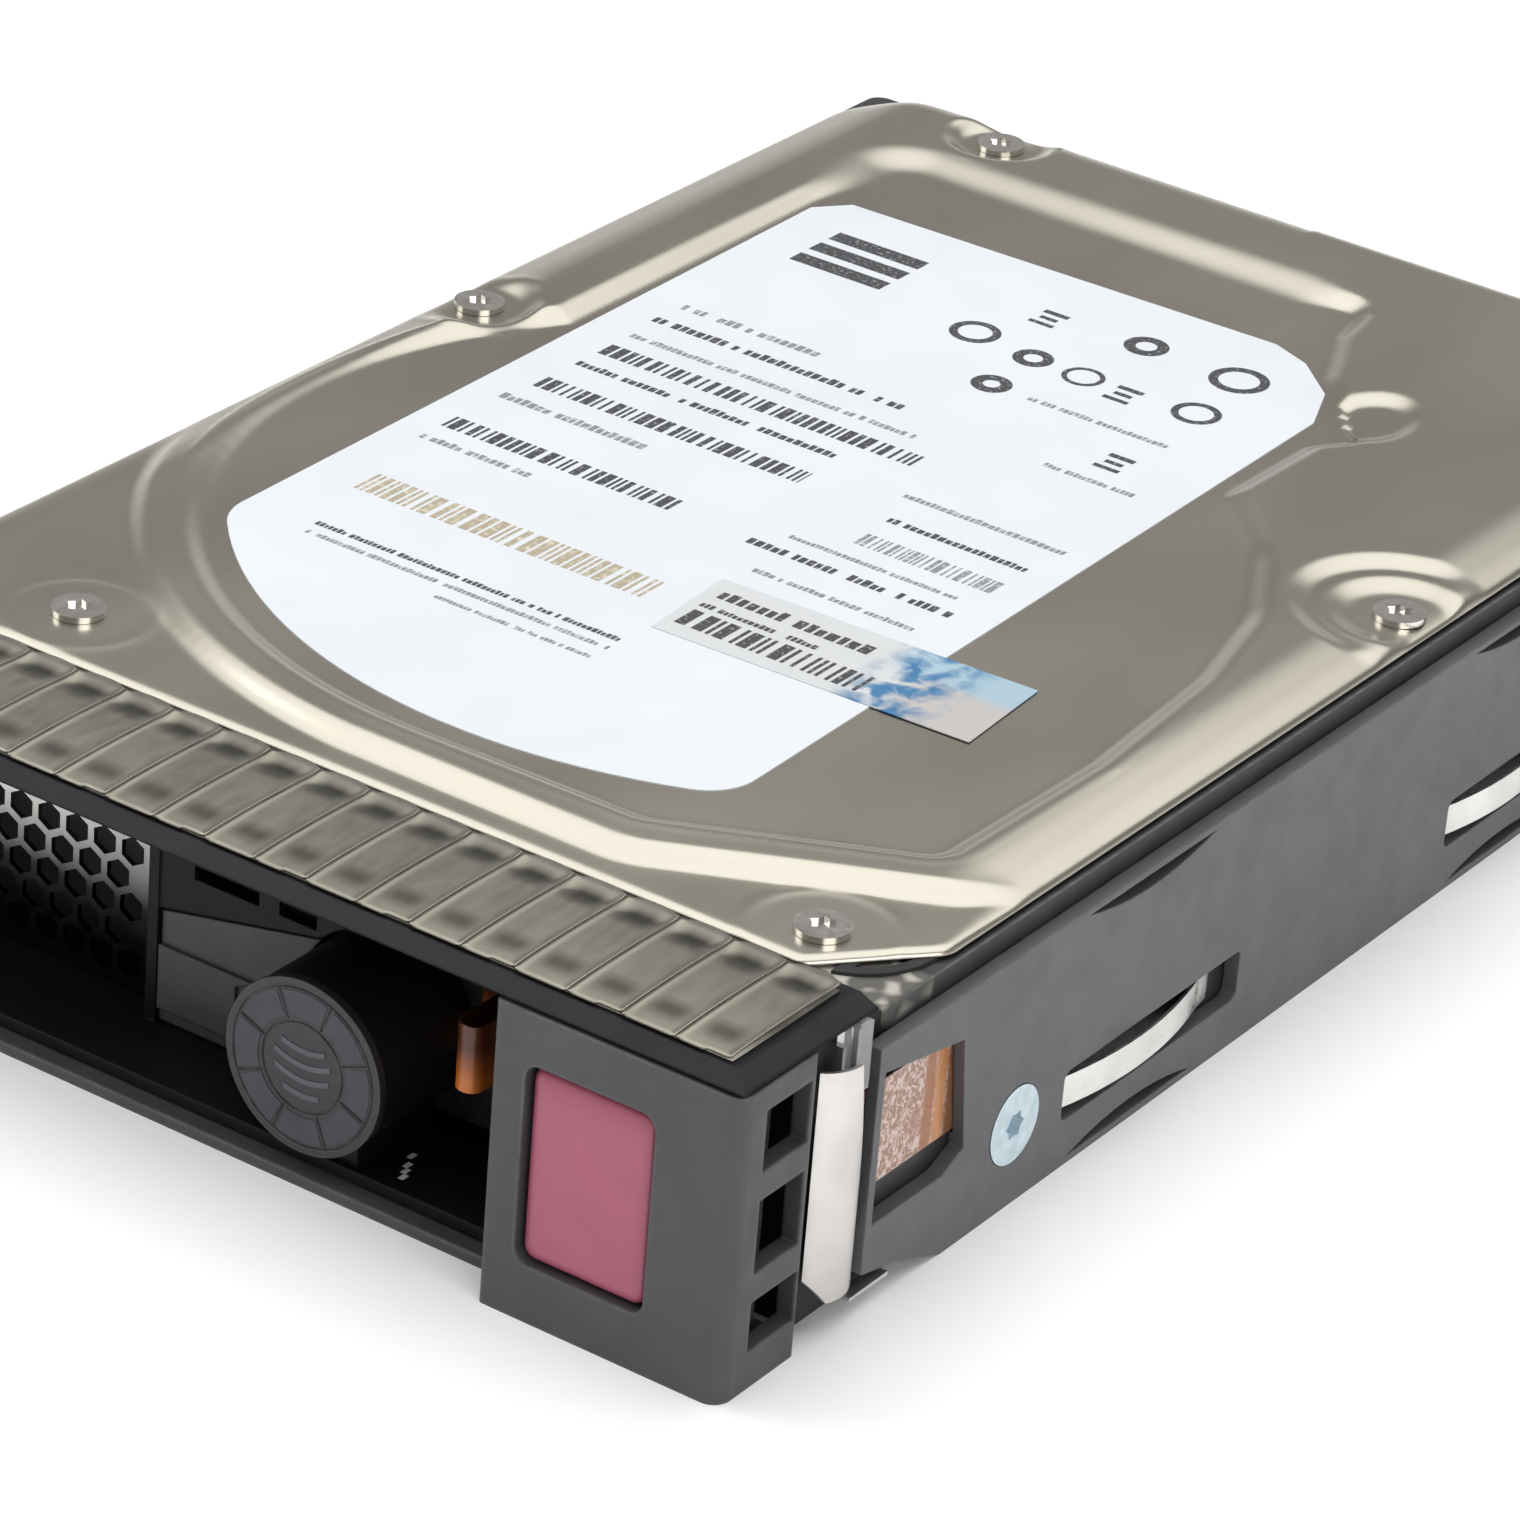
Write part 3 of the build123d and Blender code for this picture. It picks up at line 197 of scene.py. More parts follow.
def moulded(name, colour, rough, edge=0.25, grain_size=0.35, strength=0.35, wear=None):
    """Moulded plastic with a spark-eroded grain and rounded edges."""
    finish = Finish(name, colour, rough=rough)
    finish.mottle(9.0, 0.1)
    finish.gloss(3.0, rough * 0.85, rough * 1.15)
    finish.soft_edges(edge, wear)
    return finish.grain(grain_size, strength, 0.02)


def cast_aluminium():
    """Casting under a black satin coat, worn to metal at its sharp edges."""
    finish = Finish("cast_aluminium", (0.02, 0.02, 0.021), rough=0.42)
    finish.mottle(5.0, 0.2)
    finish.gloss(1.5, 0.36, 0.5)
    finish.soft_edges(0.3, (0.4, 0.39, 0.37), 0.5)
    bare = finish.maths("MULTIPLY", finish.inside("X", 42.0, 50.7, 0.3),
                        finish.inside("Y", DRIVE_FRONT - 1.4, DRIVE_FRONT + 5.0, 0.3))
    bare = finish.maths("MULTIPLY", bare, finish.inside("Z", 23.5, 26.0, 0.3))
    # painted highlight: pale dots on the bare corner stand in for glints of light on the metal
    painted_glints = finish.span(finish.noise(1.8, 0.0), 0.5, 0.7)
    finish.tint(bare, (0.09, 0.086, 0.075))
    finish.tint(finish.maths("MULTIPLY", bare, painted_glints), (0.42, 0.4, 0.35))
    return finish.grain(0.5, 0.4, 0.03)


def cover_steel():
    finish = Finish("cover_steel", (0.45, 0.425, 0.365), metal=1.0, rough=0.27)
    finish.mottle((40.0, 60.0, 40.0), 0.03)
    finish.gloss((14.0, 30.0, 14.0), 0.25, 0.29, 1.0)
    return finish.grain((0.16, 7.0, 2.0), 0.2, 0.003)


def gasket_rubber():
    return moulded("gasket_rubber", (0.018, 0.018, 0.018), 0.8, 0.1)


def screw_steel():
    return metal("screw_steel", (0.78, 0.76, 0.72), 0.17, 2.0, (0.3, 0.3, 0.3))


def zinc_screw():
    finish = Finish("zinc_screw", (0.57, 0.69, 0.75), metal=0.55, rough=0.36)
    finish.mottle(1.2, 0.12)
    finish.gloss(0.6, 0.28, 0.45)
    return finish.grain(0.3, 0.3, 0.01)


def bearing_steel():
    return metal("bearing_steel", (0.68, 0.68, 0.7), 0.16, 4.0)


def lamination_steel():
    finish = metal("lamination_steel", (0.3, 0.3, 0.32), 0.45, 3.0)
    stripes = finish.noise((40.0, 40.0, 0.3), 0.0)
    return finish.bump(stripes, 0.6, 0.05)


def copper_winding():
    finish = Finish("copper_winding", (0.68, 0.3, 0.12), metal=0.9, rough=0.3)
    finish.mottle(1.5, 0.2)
    return finish.grain((0.18, 0.18, 0.18), 0.8, 0.04)


def hub_aluminium():
    return metal("hub_aluminium", (0.74, 0.74, 0.76), 0.24, 4.0, (5.0, 5.0, 0.2))


def magnet_nickel():
    return metal("magnet_nickel", (0.66, 0.64, 0.6), 0.2, 5.0, (0.6, 0.6, 0.6))


def platter_mirror():
    finish = Finish("platter_mirror", (0.84, 0.84, 0.86), metal=1.0, rough=0.05)
    return finish.gloss(12.0, 0.03, 0.09)


def arm_aluminium():
    return metal("arm_aluminium", (0.7, 0.7, 0.72), 0.3, 4.0)


def spring_steel():
    finish = metal("spring_steel", (0.86, 0.85, 0.82), 0.3, 4.0, (2.5, 5.0, 0.14))
    return finish.gloss(1.2, 0.24, 0.38)


def slider_ceramic():
    return moulded("slider_ceramic", (0.05, 0.05, 0.055), 0.3, 0.03)


def yoke_steel():
    return metal("yoke_steel", (0.64, 0.64, 0.66), 0.28, 6.0)


def ramp_plastic():
    return moulded("ramp_plastic", (0.78, 0.74, 0.62), 0.4, 0.1)


def bumper_rubber():
    return moulded("bumper_rubber", (0.03, 0.03, 0.03), 0.75, 0.1)


def amber_flex():
    """Amber film: orange loop with painted shade darkening its upper part, pale etched tracks along the
    rail.
    """
    finish = Finish("amber_flex", (0.3, 0.16, 0.11), rough=0.32, metal=0.15, Coat_weight=0.3)
    tracks = finish.noise((0.55, 0.55, 0.8), 3.0, 1.6)
    finish.tint(finish.span(tracks, 0.47, 0.56), (0.6, 0.46, 0.41))
    finish.tint(finish.span(finish.noise(2.6, 1.0), 0.5, 0.68, 0.0, 0.6), (0.3, 0.13, 0.07))
    for place, colour in ((27.0, (0.3, 0.1, 0.02)), (28.5, (0.5, 0.2, 0.06)), (30.2, (0.2, 0.07, 0.02))):
        stripe = finish.inside("Y", FRONT + place - 0.7, FRONT + place + 0.7, 0.2)
        finish.tint(finish.maths("MULTIPLY", stripe, 0.9), colour)
    loop = finish.inside("Y", FRONT + 5.0, FRONT + 16.0)
    finish.tint(loop, (0.6, 0.17, 0.03))
    # painted shade: the upper part of the loop turns dark where shade falls on it
    painted_shade_top = finish.span(finish.axis("Z"), 12.5 * MM, 15.5 * MM)
    finish.tint(finish.maths("MULTIPLY", loop, painted_shade_top), (0.1, 0.025, 0.01))
    finish.gloss(1.0, 0.26, 0.42)
    return finish.bump(tracks, 0.3, 0.015)


def filter_fabric():
    finish = Finish("filter_fabric", (0.86, 0.86, 0.83), rough=0.9)
    return finish.grain((0.2, 0.2, 1.5), 0.8, 0.08)


def black_plastic():
    finish = moulded("black_plastic", (0.007, 0.007, 0.009), 0.36, 0.2, 0.6, 0.15, (0.03, 0.03, 0.034))
    finish.shader.inputs["Specular IOR Level"].default_value = 0.18
    return finish.gloss(4.0, 0.32, 0.42)


def board_laminate(name="board_laminate", resist=(0.02, 0.11, 0.055), track=(0.05, 0.2, 0.09)):
    """Solder resist over faint tracks."""
    finish = Finish(name, resist, rough=0.34, Coat_weight=0.25)
    tracks = finish.cells((2.6, 2.6, 2.6), "DISTANCE_TO_EDGE", 1.0)
    finish.tint(finish.span(tracks, 0.04, 0.1, 0.8, 0.0), track)
    finish.tint(finish.span(finish.cells(3.1), 0.07, 0.1, 1.0, 0.0), (0.4, 0.33, 0.16))
    return finish.bump(tracks, 0.4, 0.03)


def black_laminate():
    return board_laminate("black_laminate", (0.012, 0.012, 0.014), (0.02, 0.02, 0.022))


def chip_epoxy():
    return moulded("chip_epoxy", (0.02, 0.02, 0.022), 0.5, 0.06, 0.12, 0.5)


def connector_plastic():
    return moulded("connector_plastic", (0.02, 0.02, 0.024), 0.38, 0.12, 0.3, 0.4)


def label_paper():
    finish = Finish("label_paper", (0.65, 0.68, 0.72), rough=0.45)
    finish.mottle(26.0, 0.02)
    finish.gloss(6.0, 0.32, 0.46)
    return finish.grain(0.5, 0.3, 0.006, 4.0)


def sticker_paper():
    """Sticker with a cloudy blue patch towards its right and a grey end."""
    finish = Finish("sticker_paper", (0.56, 0.575, 0.585), rough=0.36)
    middle = finish.inside("X", 20.5, 27.5, 1.6)
    cloud = finish.span(finish.noise(2.2, 3.0, 0.6), 0.4, 0.6)
    finish.tint(finish.inside("X", 24.0, 36.0, 1.5), (0.44, 0.425, 0.415))
    sky = finish.maths("MULTIPLY", finish.inside("X", 21.0, 36.0, 1.2),
                       finish.inside("Y", DRIVE_FRONT + 43.5, DRIVE_FRONT + 49, 0.8))
    finish.tint(finish.maths("MULTIPLY", sky, 0.7), (0.27, 0.46, 0.58))
    finish.tint(finish.maths("MULTIPLY", middle, cloud), (0.03, 0.16, 0.33))
    finish.gloss(3.0, 0.3, 0.42)
    return finish.grain(0.4, 0.2, 0.006)


def rail_plastic():
    finish = moulded("rail_plastic", (0.078, 0.079, 0.084), 0.42, 0.25, 0.3, 0.25, (0.24, 0.24, 0.26))
    return finish.grain((0.5, 14.0, 0.5), 0.12, 0.01)


def grille_steel():
    """Bright sheet with painted shade towards its right end and painted shadow towards its foot."""
    finish = metal("grille_steel", (0.85, 0.85, 0.82), 0.24, 5.0, (0.4, 0.4, 0.4))
    # painted shade: the sheet darkens towards its right end, away from the light at its top left
    right = finish.span(finish.axis("X"), -34.0 * MM, -16.0 * MM, 0.0, 0.5)
    finish.tint(right, (0.16, 0.16, 0.165))
    # painted shadow: the sheet fades to near black towards its foot, where shadow falls
    low = finish.span(finish.axis("Z"), 10.0 * MM, 18.0 * MM, 0.96, 0.0)
    return finish.tint(low, (0.012, 0.012, 0.013))


def bracket_plastic():
    return moulded("bracket_plastic", (0.05, 0.05, 0.058), 0.45, 0.3, 0.3, 0.2)


def lens_plastic():
    """Frosted dark light guide."""
    finish = Finish("lens_plastic", (0.015, 0.016, 0.019), rough=0.4, Coat_weight=0.1)
    finish.mottle(3.0, 0.12)
    finish.soft_edges(0.2, (0.1, 0.104, 0.115), 0.8)
    return finish.grain(0.25, 0.25, 0.012)


def lens_segment():
    """Paler diffusing window of the indicator ring."""
    finish = Finish("lens_segment", (0.036, 0.038, 0.046), rough=0.5)
    finish.mottle(2.0, 0.12)
    return finish.grain(0.2, 0.3, 0.012)


def lens_bar():
    finish = Finish("lens_bar", (0.07, 0.075, 0.088), rough=0.4)
    finish.mottle(1.0, 0.1)
    return finish.grain(0.2, 0.3, 0.01)


def clear_plastic():
    finish = Finish("clear_plastic", (0.8, 0.82, 0.8), rough=0.12, Transmission_weight=0.85)
    finish.shader.inputs["IOR"].default_value = 1.49
    return finish.grain((1.5, 1.5, 8.0), 0.4, 0.03)


def finger_steel():
    """Thin beryllium-copper strip: warm satin grey, with painted shade and dark reflection in the pockets
    at both ends of each finger.
    """
    finish = Finish("finger_steel", (0.245, 0.234, 0.196), metal=1.0, rough=0.38)
    finish.mottle((6.0, 14.0, 6.0), 0.1)
    across = finish.span(finish.axis("X"), STRIP_LEFT * MM, (STRIP_LEFT + FINGER_PITCH) * MM, 0.0, 1.0)
    across.node.clamp = False
    place = finish.maths("FRACT", across)
    bow = finish.maths("SINE", finish.maths("MULTIPLY", place, math.pi))
    middle = finish.span(bow, 0.3, 0.9)
    # painted shade: the pockets at both ends of each finger are darkened across its middle, standing in for
    # shade and dark reflection
    for start, end, depth in ((13.4, 16.0, 0.92), (4.2, 6.2, 0.7)):
        pocket = finish.inside("Y", FRONT + start, FRONT + end, 0.7)
        painted_pocket_shade = finish.maths("MULTIPLY", finish.maths("MULTIPLY", pocket, middle), depth)
        finish.tint(painted_pocket_shade, (0.045, 0.043, 0.035))
    finish.gloss((1.0, 3.0, 1.0), 0.33, 0.44)
    return finish.grain((0.35, 5.0, 2.0), 0.3, 0.008)


def side_strip_steel():
    finish = metal("side_strip_steel", (0.66, 0.64, 0.62), 0.38, 5.0, (0.2, 0.2, 8.0))
    return finish.gloss(2.0, 0.33, 0.44)


def contact_block_plastic():
    return moulded("contact_block_plastic", (0.02, 0.02, 0.02), 0.45, 0.08)


def lever_plastic():
    return moulded("lever_plastic", (0.05, 0.05, 0.056), 0.5, 0.45, 0.22, 0.4, (0.17, 0.17, 0.18))


def button_plastic():
    finish = Finish("button_plastic", (0.34, 0.074, 0.127), rough=0.34, Coat_weight=0.2)
    finish.mottle(4.0, 0.04)
    rise = finish.span(finish.axis("Z"), 19.0 * MM, 21.6 * MM)
    finish.tint(finish.maths("MULTIPLY", rise, 0.6), (0.24, 0.03, 0.06))
    finish.gloss(1.5, 0.31, 0.38)
    return finish.grain(0.3, 0.12, 0.008)


def print_ink():
    """Matt black toner with small voids."""
    finish = Finish("print_ink", (0.035, 0.036, 0.04), rough=0.6)
    return finish.tint(finish.span(finish.noise(0.35, 3.0), 0.56, 0.7), (0.3, 0.31, 0.33))


def grey_ink():
    finish = Finish("grey_ink", (0.2, 0.205, 0.22), rough=0.6)
    return finish.tint(finish.span(finish.noise(0.4, 3.0), 0.5, 0.7), (0.5, 0.51, 0.54))


def tan_ink():
    finish = Finish("tan_ink", (0.36, 0.31, 0.22), rough=0.6)
    return finish.tint(finish.span(finish.noise(0.5, 3.0), 0.5, 0.7), (0.6, 0.55, 0.45))


def white_ink():
    finish = Finish("white_ink", (0.75, 0.76, 0.78), rough=0.6)
    return finish.tint(finish.span(finish.noise(0.3, 3.0), 0.55, 0.7), (0.4, 0.41, 0.43))


def floor_paper():
    finish = Finish("floor_paper", (0.93, 0.93, 0.93), rough=0.85)
    finish.mottle(180.0, 0.01)
    return finish.grain(2.0, 0.1, 0.02)


SLOT_FINISHES = [
    cast_aluminium, cover_steel, gasket_rubber, screw_steel, zinc_screw, bearing_steel,
    lamination_steel, copper_winding, hub_aluminium, magnet_nickel, platter_mirror,
    arm_aluminium, spring_steel, slider_ceramic, yoke_steel, ramp_plastic, bumper_rubber,
    amber_flex, filter_fabric, black_plastic, board_laminate, chip_epoxy, connector_plastic,
    label_paper, sticker_paper, rail_plastic, grille_steel, bracket_plastic, lens_plastic,
    clear_plastic, finger_steel, side_strip_steel, contact_block_plastic, lever_plastic,
    button_plastic,
]
finishes = {make.__name__: make().material for make in SLOT_FINISHES}


def dress_frame():
    """Every CAD node takes the finish of its own material slot."""
    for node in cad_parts.values():
        for part_slot in node.material_slots:
            part_slot.material = finishes[part_slot.material.name]
    for part_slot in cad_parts["indicator_board"].material_slots:
        part_slot.material = black_laminate().material


# ---------------------------------------------------------------- mesh helpers
def piece(name, vertices, faces, finish, body, smooth=True):
    """A new mesh piece, its points in mm, that rides on a body."""
    mesh = bpy.data.meshes.new(name)
    mesh.from_pydata([tuple(c * MM for c in v) for v in vertices], [], faces)
    work = bmesh.new()
    work.from_mesh(mesh)
    bmesh.ops.recalc_face_normals(work, faces=work.faces)
    work.to_mesh(mesh)
    work.free()
    mesh.validate()
    mesh.polygons.foreach_set("use_smooth", [smooth] * len(mesh.polygons))
    made = bpy.data.objects.new(name, mesh)
    bpy.context.scene.collection.objects.link(made)
    made.data.materials.append(finish)
    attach(made, body)
    return made


def sheet_solid(top, under):
    """Vertices and faces of a closed sheet from a grid of top points and one of lower points."""
    rows, cols = top.shape[:2]
    vertices = [tuple(p) for p in top.reshape(-1, 3)] + [tuple(p) for p in under.reshape(-1, 3)]
    half = rows * cols
    faces = []
    for r in range(rows - 1):
        for c in range(cols - 1):
            a = r * cols + c
            faces.append((a, a + 1, a + cols + 1, a + cols))
            faces.append((half + a, half + a + cols, half + a + cols + 1, half + a + 1))
    rim = list(range(cols)) + [r * cols + cols - 1 for r in range(1, rows)]
    rim += [(rows - 1) * cols + c for c in range(cols - 2, -1, -1)]
    rim += [r * cols for r in range(rows - 2, 0, -1)]
    for a, b in zip(rim, rim[1:] + rim[:1]):
        faces.append((a, half + a, half + b, b))
    return vertices, faces


def boxes_mesh(boxes):
    """Vertices and faces of many small boxes, each (x range, y range, z range)."""
    vertices, faces = [], []
    sides = ((0, 1, 3, 2), (4, 6, 7, 5), (0, 4, 5, 1), (2, 3, 7, 6), (0, 2, 6, 4), (1, 5, 7, 3))
    for xs, ys, zs in boxes:
        start = len(vertices)
        vertices += [(x, y, z) for x in xs for y in ys for z in zs]
        faces += [tuple(start + i for i in side) for side in sides]
    return vertices, faces


def smoothstep(t):
    t = np.clip(t, 0.0, 1.0)
    return t * t * (3 - 2 * t)


def rounded_outline(points, radii, steps=9):
    """A closed outline whose corners are rounded by the given radii."""
    out = []
    count = len(points)
    for i, (point, radius) in enumerate(zip(points, radii)):
        here = Vector(point)
        back = (Vector(points[i - 1]) - here).normalized()
        on = (Vector(points[(i + 1) % count]) - here).normalized()
        if radius == 0:
            out.append(tuple(here))
            continue
        half = back.angle(on) / 2
        centre = here + (back + on).normalized() * (radius / math.sin(half))
        start = here + back * (radius / math.tan(half)) - centre
        turn = start.angle_signed(here + on * (radius / math.tan(half)) - centre)
        for k in range(steps + 1):
            a = -turn * k / steps
            spun = Vector((start.x * math.cos(a) - start.y * math.sin(a),
                           start.x * math.sin(a) + start.y * math.cos(a)))
            out.append(tuple(centre + spun))
    return out


def depth_inside(x, y, outline):
    """Distance to a closed outline, positive inside it."""
    nearest = np.full(x.shape, 1e9)
    crossings = np.zeros(x.shape, int)
    for (ax, ay), (bx, by) in zip(outline, outline[1:] + outline[:1]):
        ex, ey = bx - ax, by - ay
        t = np.clip(((x - ax) * ex + (y - ay) * ey) / max(ex * ex + ey * ey, 1e-12), 0, 1)
        nearest = np.minimum(nearest, np.hypot(x - ax - t * ex, y - ay - t * ey))
        if ay != by:
            hit = ((ay > y) != (by > y)) & (x < ax + (y - ay) * ex / ey)
            crossings += hit
    return np.where(crossings % 2 == 1, nearest, -nearest)


# ---------------------------------------------------------------- cover
# plan measures are from the middle of the drive's front edge, mm
COVER_HALF = 50.3
COVER_FRONT, COVER_REAR = -1.0, 146.5
COVER_CUT = ((42.8, COVER_FRONT), (COVER_HALF, 8.0))
PLATEAU, FLANGE, RECESS, SKIRT = 27.08, 25.97, 26.11, 25.42
PLATTER_CENTRE = (-1.0, 54.0)
BEAD, RING = 0.13, 0.06
PRESS_LIMIT = PLATEAU + 0.02
WIDE_SEAT_Y = 81.0
SEATS = [
    (-33.6, 6.0, 4.6), (41.4, 3.9, 4.6), (-47.0, 77.3, 4.9),
    (47.0, WIDE_SEAT_Y, 5.2), (-33.4, 142.6, 4.6), (41.0, 142.6, 4.6),
]


def cover_edge():
    corners = [(-COVER_HALF, COVER_FRONT), COVER_CUT[0], COVER_CUT[1],
               (COVER_HALF, COVER_REAR), (-COVER_HALF, COVER_REAR)]
    return rounded_outline(corners, [8.0, 1.6, 2.5, 8.0, 8.0])


def arc_points(radius, start, stop, steps=40):
    """Points on a circle about the platters' centre, angles in degrees."""
    angles = np.linspace(math.radians(start), math.radians(stop), steps)
    return [(PLATTER_CENTRE[0] + radius * math.cos(a), PLATTER_CENTRE[1] + radius * math.sin(a))
            for a in angles]


def ridge_line():
    """Foot of the raised middle: round the platters on the left, straight, then cut at the right."""
    left = arc_points(51.4, 190, 267)
    right = [(23.5, 2.6), (46.6, 14.6), (70, 40), (70, 200), (-70, 200), (-70, 60)]
    return rounded_outline(left + right, [0] * len(left) + [9.0, 6.0, 0, 0, 0, 0])


def recess_line():
    """Edge of the sunk middle: platter circle, cut front right, narrow rear."""
    left = arc_points(46.5, 146, 270)
    right = [(21.6, 7.9), (42.6, 18.6), (43.1, 40.0), (41.6, 58.5), (38.6, 71.5), (32.6, 82.6),
             (24.7, 90.4), (25.0, 103.6), (27.2, 107.0), (24.4, 110.4), (19.0, 117.0),
             (14.8, 126.5), (13.4, 133.5), (-39.6, 133.5)]
    radii = [4.0, 3.0, 18.0, 16.0, 14.0, 14.0, 2.0, 1.5, 1.5, 2.0, 8.0, 6.0, 3.0, 5.0]
    return rounded_outline(left + right, [0] * len(left) + radii)


def cover_height(x, y):
    """Height of the pressed sheet's upper side."""
    rise = smoothstep((depth_inside(x, y, ridge_line()) + 0.9) / 2.3)
    height = FLANGE + (PLATEAU - FLANGE) * rise
    slope = smoothstep((np.abs(x) - 44.2) / 6.0) * smoothstep((y - 10.0) / 10.0)
    height -= (PLATEAU - FLANGE - 0.2) * slope * rise
    sunk = depth_inside(x, y, recess_line())
    wall = 1.3 + 1.7 * smoothstep((y - 118.0) / 10.0) * smoothstep((12.0 - x) / 6.0)
    height -= (height - RECESS) * smoothstep((sunk + wall) / (2 * wall))
    bead = np.exp(-((sunk + wall + 0.3) / 0.3) ** 2) * (1 - smoothstep((y - 100.0) / 15.0))
    height = np.minimum(height + BEAD * bead, PRESS_LIMIT)
    for sx, sy, seat in SEATS:
        away = np.hypot(x - sx, y - sy)
        if sy == WIDE_SEAT_Y:
            wide = smoothstep((10.2 - away) / 2.6)
            height = height * (1 - wide) + (FLANGE + 0.5) * wide
        near = smoothstep((seat + 1.4 - away) / 2.6)
        height = height * (1 - near) + FLANGE * near
        ring = np.exp(-((away - seat - 1.6) / 0.6) ** 2) * (away > seat)
        height = np.minimum(height + RING * ring, PRESS_LIMIT)
    spot = np.hypot((x - 26.0) / 0.7, y - 112.0)
    height -= 0.55 * smoothstep((6.6 - spot) / 3.2) * (sunk < 0)
    edge = depth_inside(x, y, cover_edge())
    side = smoothstep((y - 7.0) / 14.0)
    width = 0.9 + side * np.where(x > 0, 1.6, 2.6)
    roll = np.sqrt(np.clip(1 - (1 - np.clip(edge / width, 0, 1)) ** 2, 0, 1))
    rim = SKIRT + 0.06
    return rim + (height - rim) * roll


def half_widths(y, outline):
    """Leftmost and rightmost place of the outline at a given depth."""
    crossings = []
    for (ax, ay), (bx, by) in zip(outline, outline[1:] + outline[:1]):
        if (ay > y) != (by > y):
            crossings.append(ax + (y - ay) * (bx - ax) / (by - ay))
    return min(crossings), max(crossings)


def cover_sheet():
    """The drive's pressed cover with its ridge, sunk label area, screw seats and rolled edge."""
    outline = cover_edge()
    y0 = min(p[1] for p in outline) + 0.002
    y1 = max(p[1] for p in outline) - 0.002
    fine = np.array([0.0, 0.03, 0.08, 0.16, 0.27, 0.4, 0.6])
    rows = np.concatenate([y0 + fine, np.linspace(y0 + 0.9, y1 - 0.9, 350), y1 - fine[::-1]])
    across = np.linspace(-1, 1, 241)
    across = np.sign(across) * (1 - (1 - np.abs(across)) ** 1.15)
    top = np.zeros((len(rows), len(across), 3))
    for i, y in enumerate(rows):
        left, right = half_widths(y, outline)
        top[i, :, 0] = (left + right) / 2 + across * (right - left) / 2
        top[i, :, 1] = y
    top[:, :, 2] = cover_height(top[:, :, 0], top[:, :, 1])
    top[:, :, 1] += DRIVE_FRONT
    under = top.copy()
    under[:, :, 2] = SKIRT
    vertices, faces = sheet_solid(top, under)
    cover = piece("cover_sheet", vertices, faces, finishes["cover_steel"], "carrier")
    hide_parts("top_cover")


# ---------------------------------------------------------------- contact finger strip
STRIP_THICK = 0.14
SPINE_THICK = 0.16
FINGER_GAP = 0.1


def finger_height(u, v, length, base):
    """Height of one finger: gently arched, with raised sides and a pocket before its rear lip."""
    t = v / length
    middle = 1 - (2 * u / FINGER_PITCH) ** 2
    height = base + 0.34 + 0.26 * np.sin(np.pi * np.clip(t, 0, 1)) ** 0.6
    height += 0.15 * np.exp(-((FINGER_PITCH / 2 - np.abs(u)) / 0.3) ** 2)
    rear = np.exp(-((t - 0.84) / 0.06) ** 2)
    height -= 0.22 * rear * smoothstep(middle * 1.4)
    height += 0.14 * smoothstep((t - 0.88) / 0.08)
    return np.minimum(height, base + 0.86)


def contact_strip():
    """Row of sprung fingers over the bezel's front edge."""
    low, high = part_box("emi_top_strip")
    x0, y0, y1 = low.x / MM, low.y / MM, high.y / MM
    base = low.z / MM
    length = y1 - y0
    spine = ((x0, x0 + FINGERS * FINGER_PITCH), (y0 + 0.3, y1 - 1.0), (base, base + SPINE_THICK))
    vertices, faces = boxes_mesh([spine])
    width = FINGER_PITCH - FINGER_GAP
    for i in range(FINGERS):
        centre = x0 + (i + 0.5) * FINGER_PITCH
        u = np.linspace(-width / 2, width / 2, 21)
        v = np.linspace(0, 1, 41)
        grid_u, grid_v = np.meshgrid(u, v)
        scallop = 0.75 * (2 * grid_u / FINGER_PITCH) ** 2
        step = 0.22 if i % 2 else 0.0
        front = step * (grid_u > 0)
        along = front + grid_v * (length - scallop - front)
        top = np.stack([centre + grid_u, y0 + along, finger_height(grid_u, along, length, base)], -1)
        under = top.copy()
        under[:, :, 2] -= STRIP_THICK
        finger_vertices, finger_faces = sheet_solid(top, under)
        start = len(vertices)
        vertices += finger_vertices
        faces += [tuple(start + k for k in face) for face in finger_faces]
    strip = piece("contact_strip", vertices, faces, finishes["finger_steel"], "carrier")
    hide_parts("emi_top_strip")


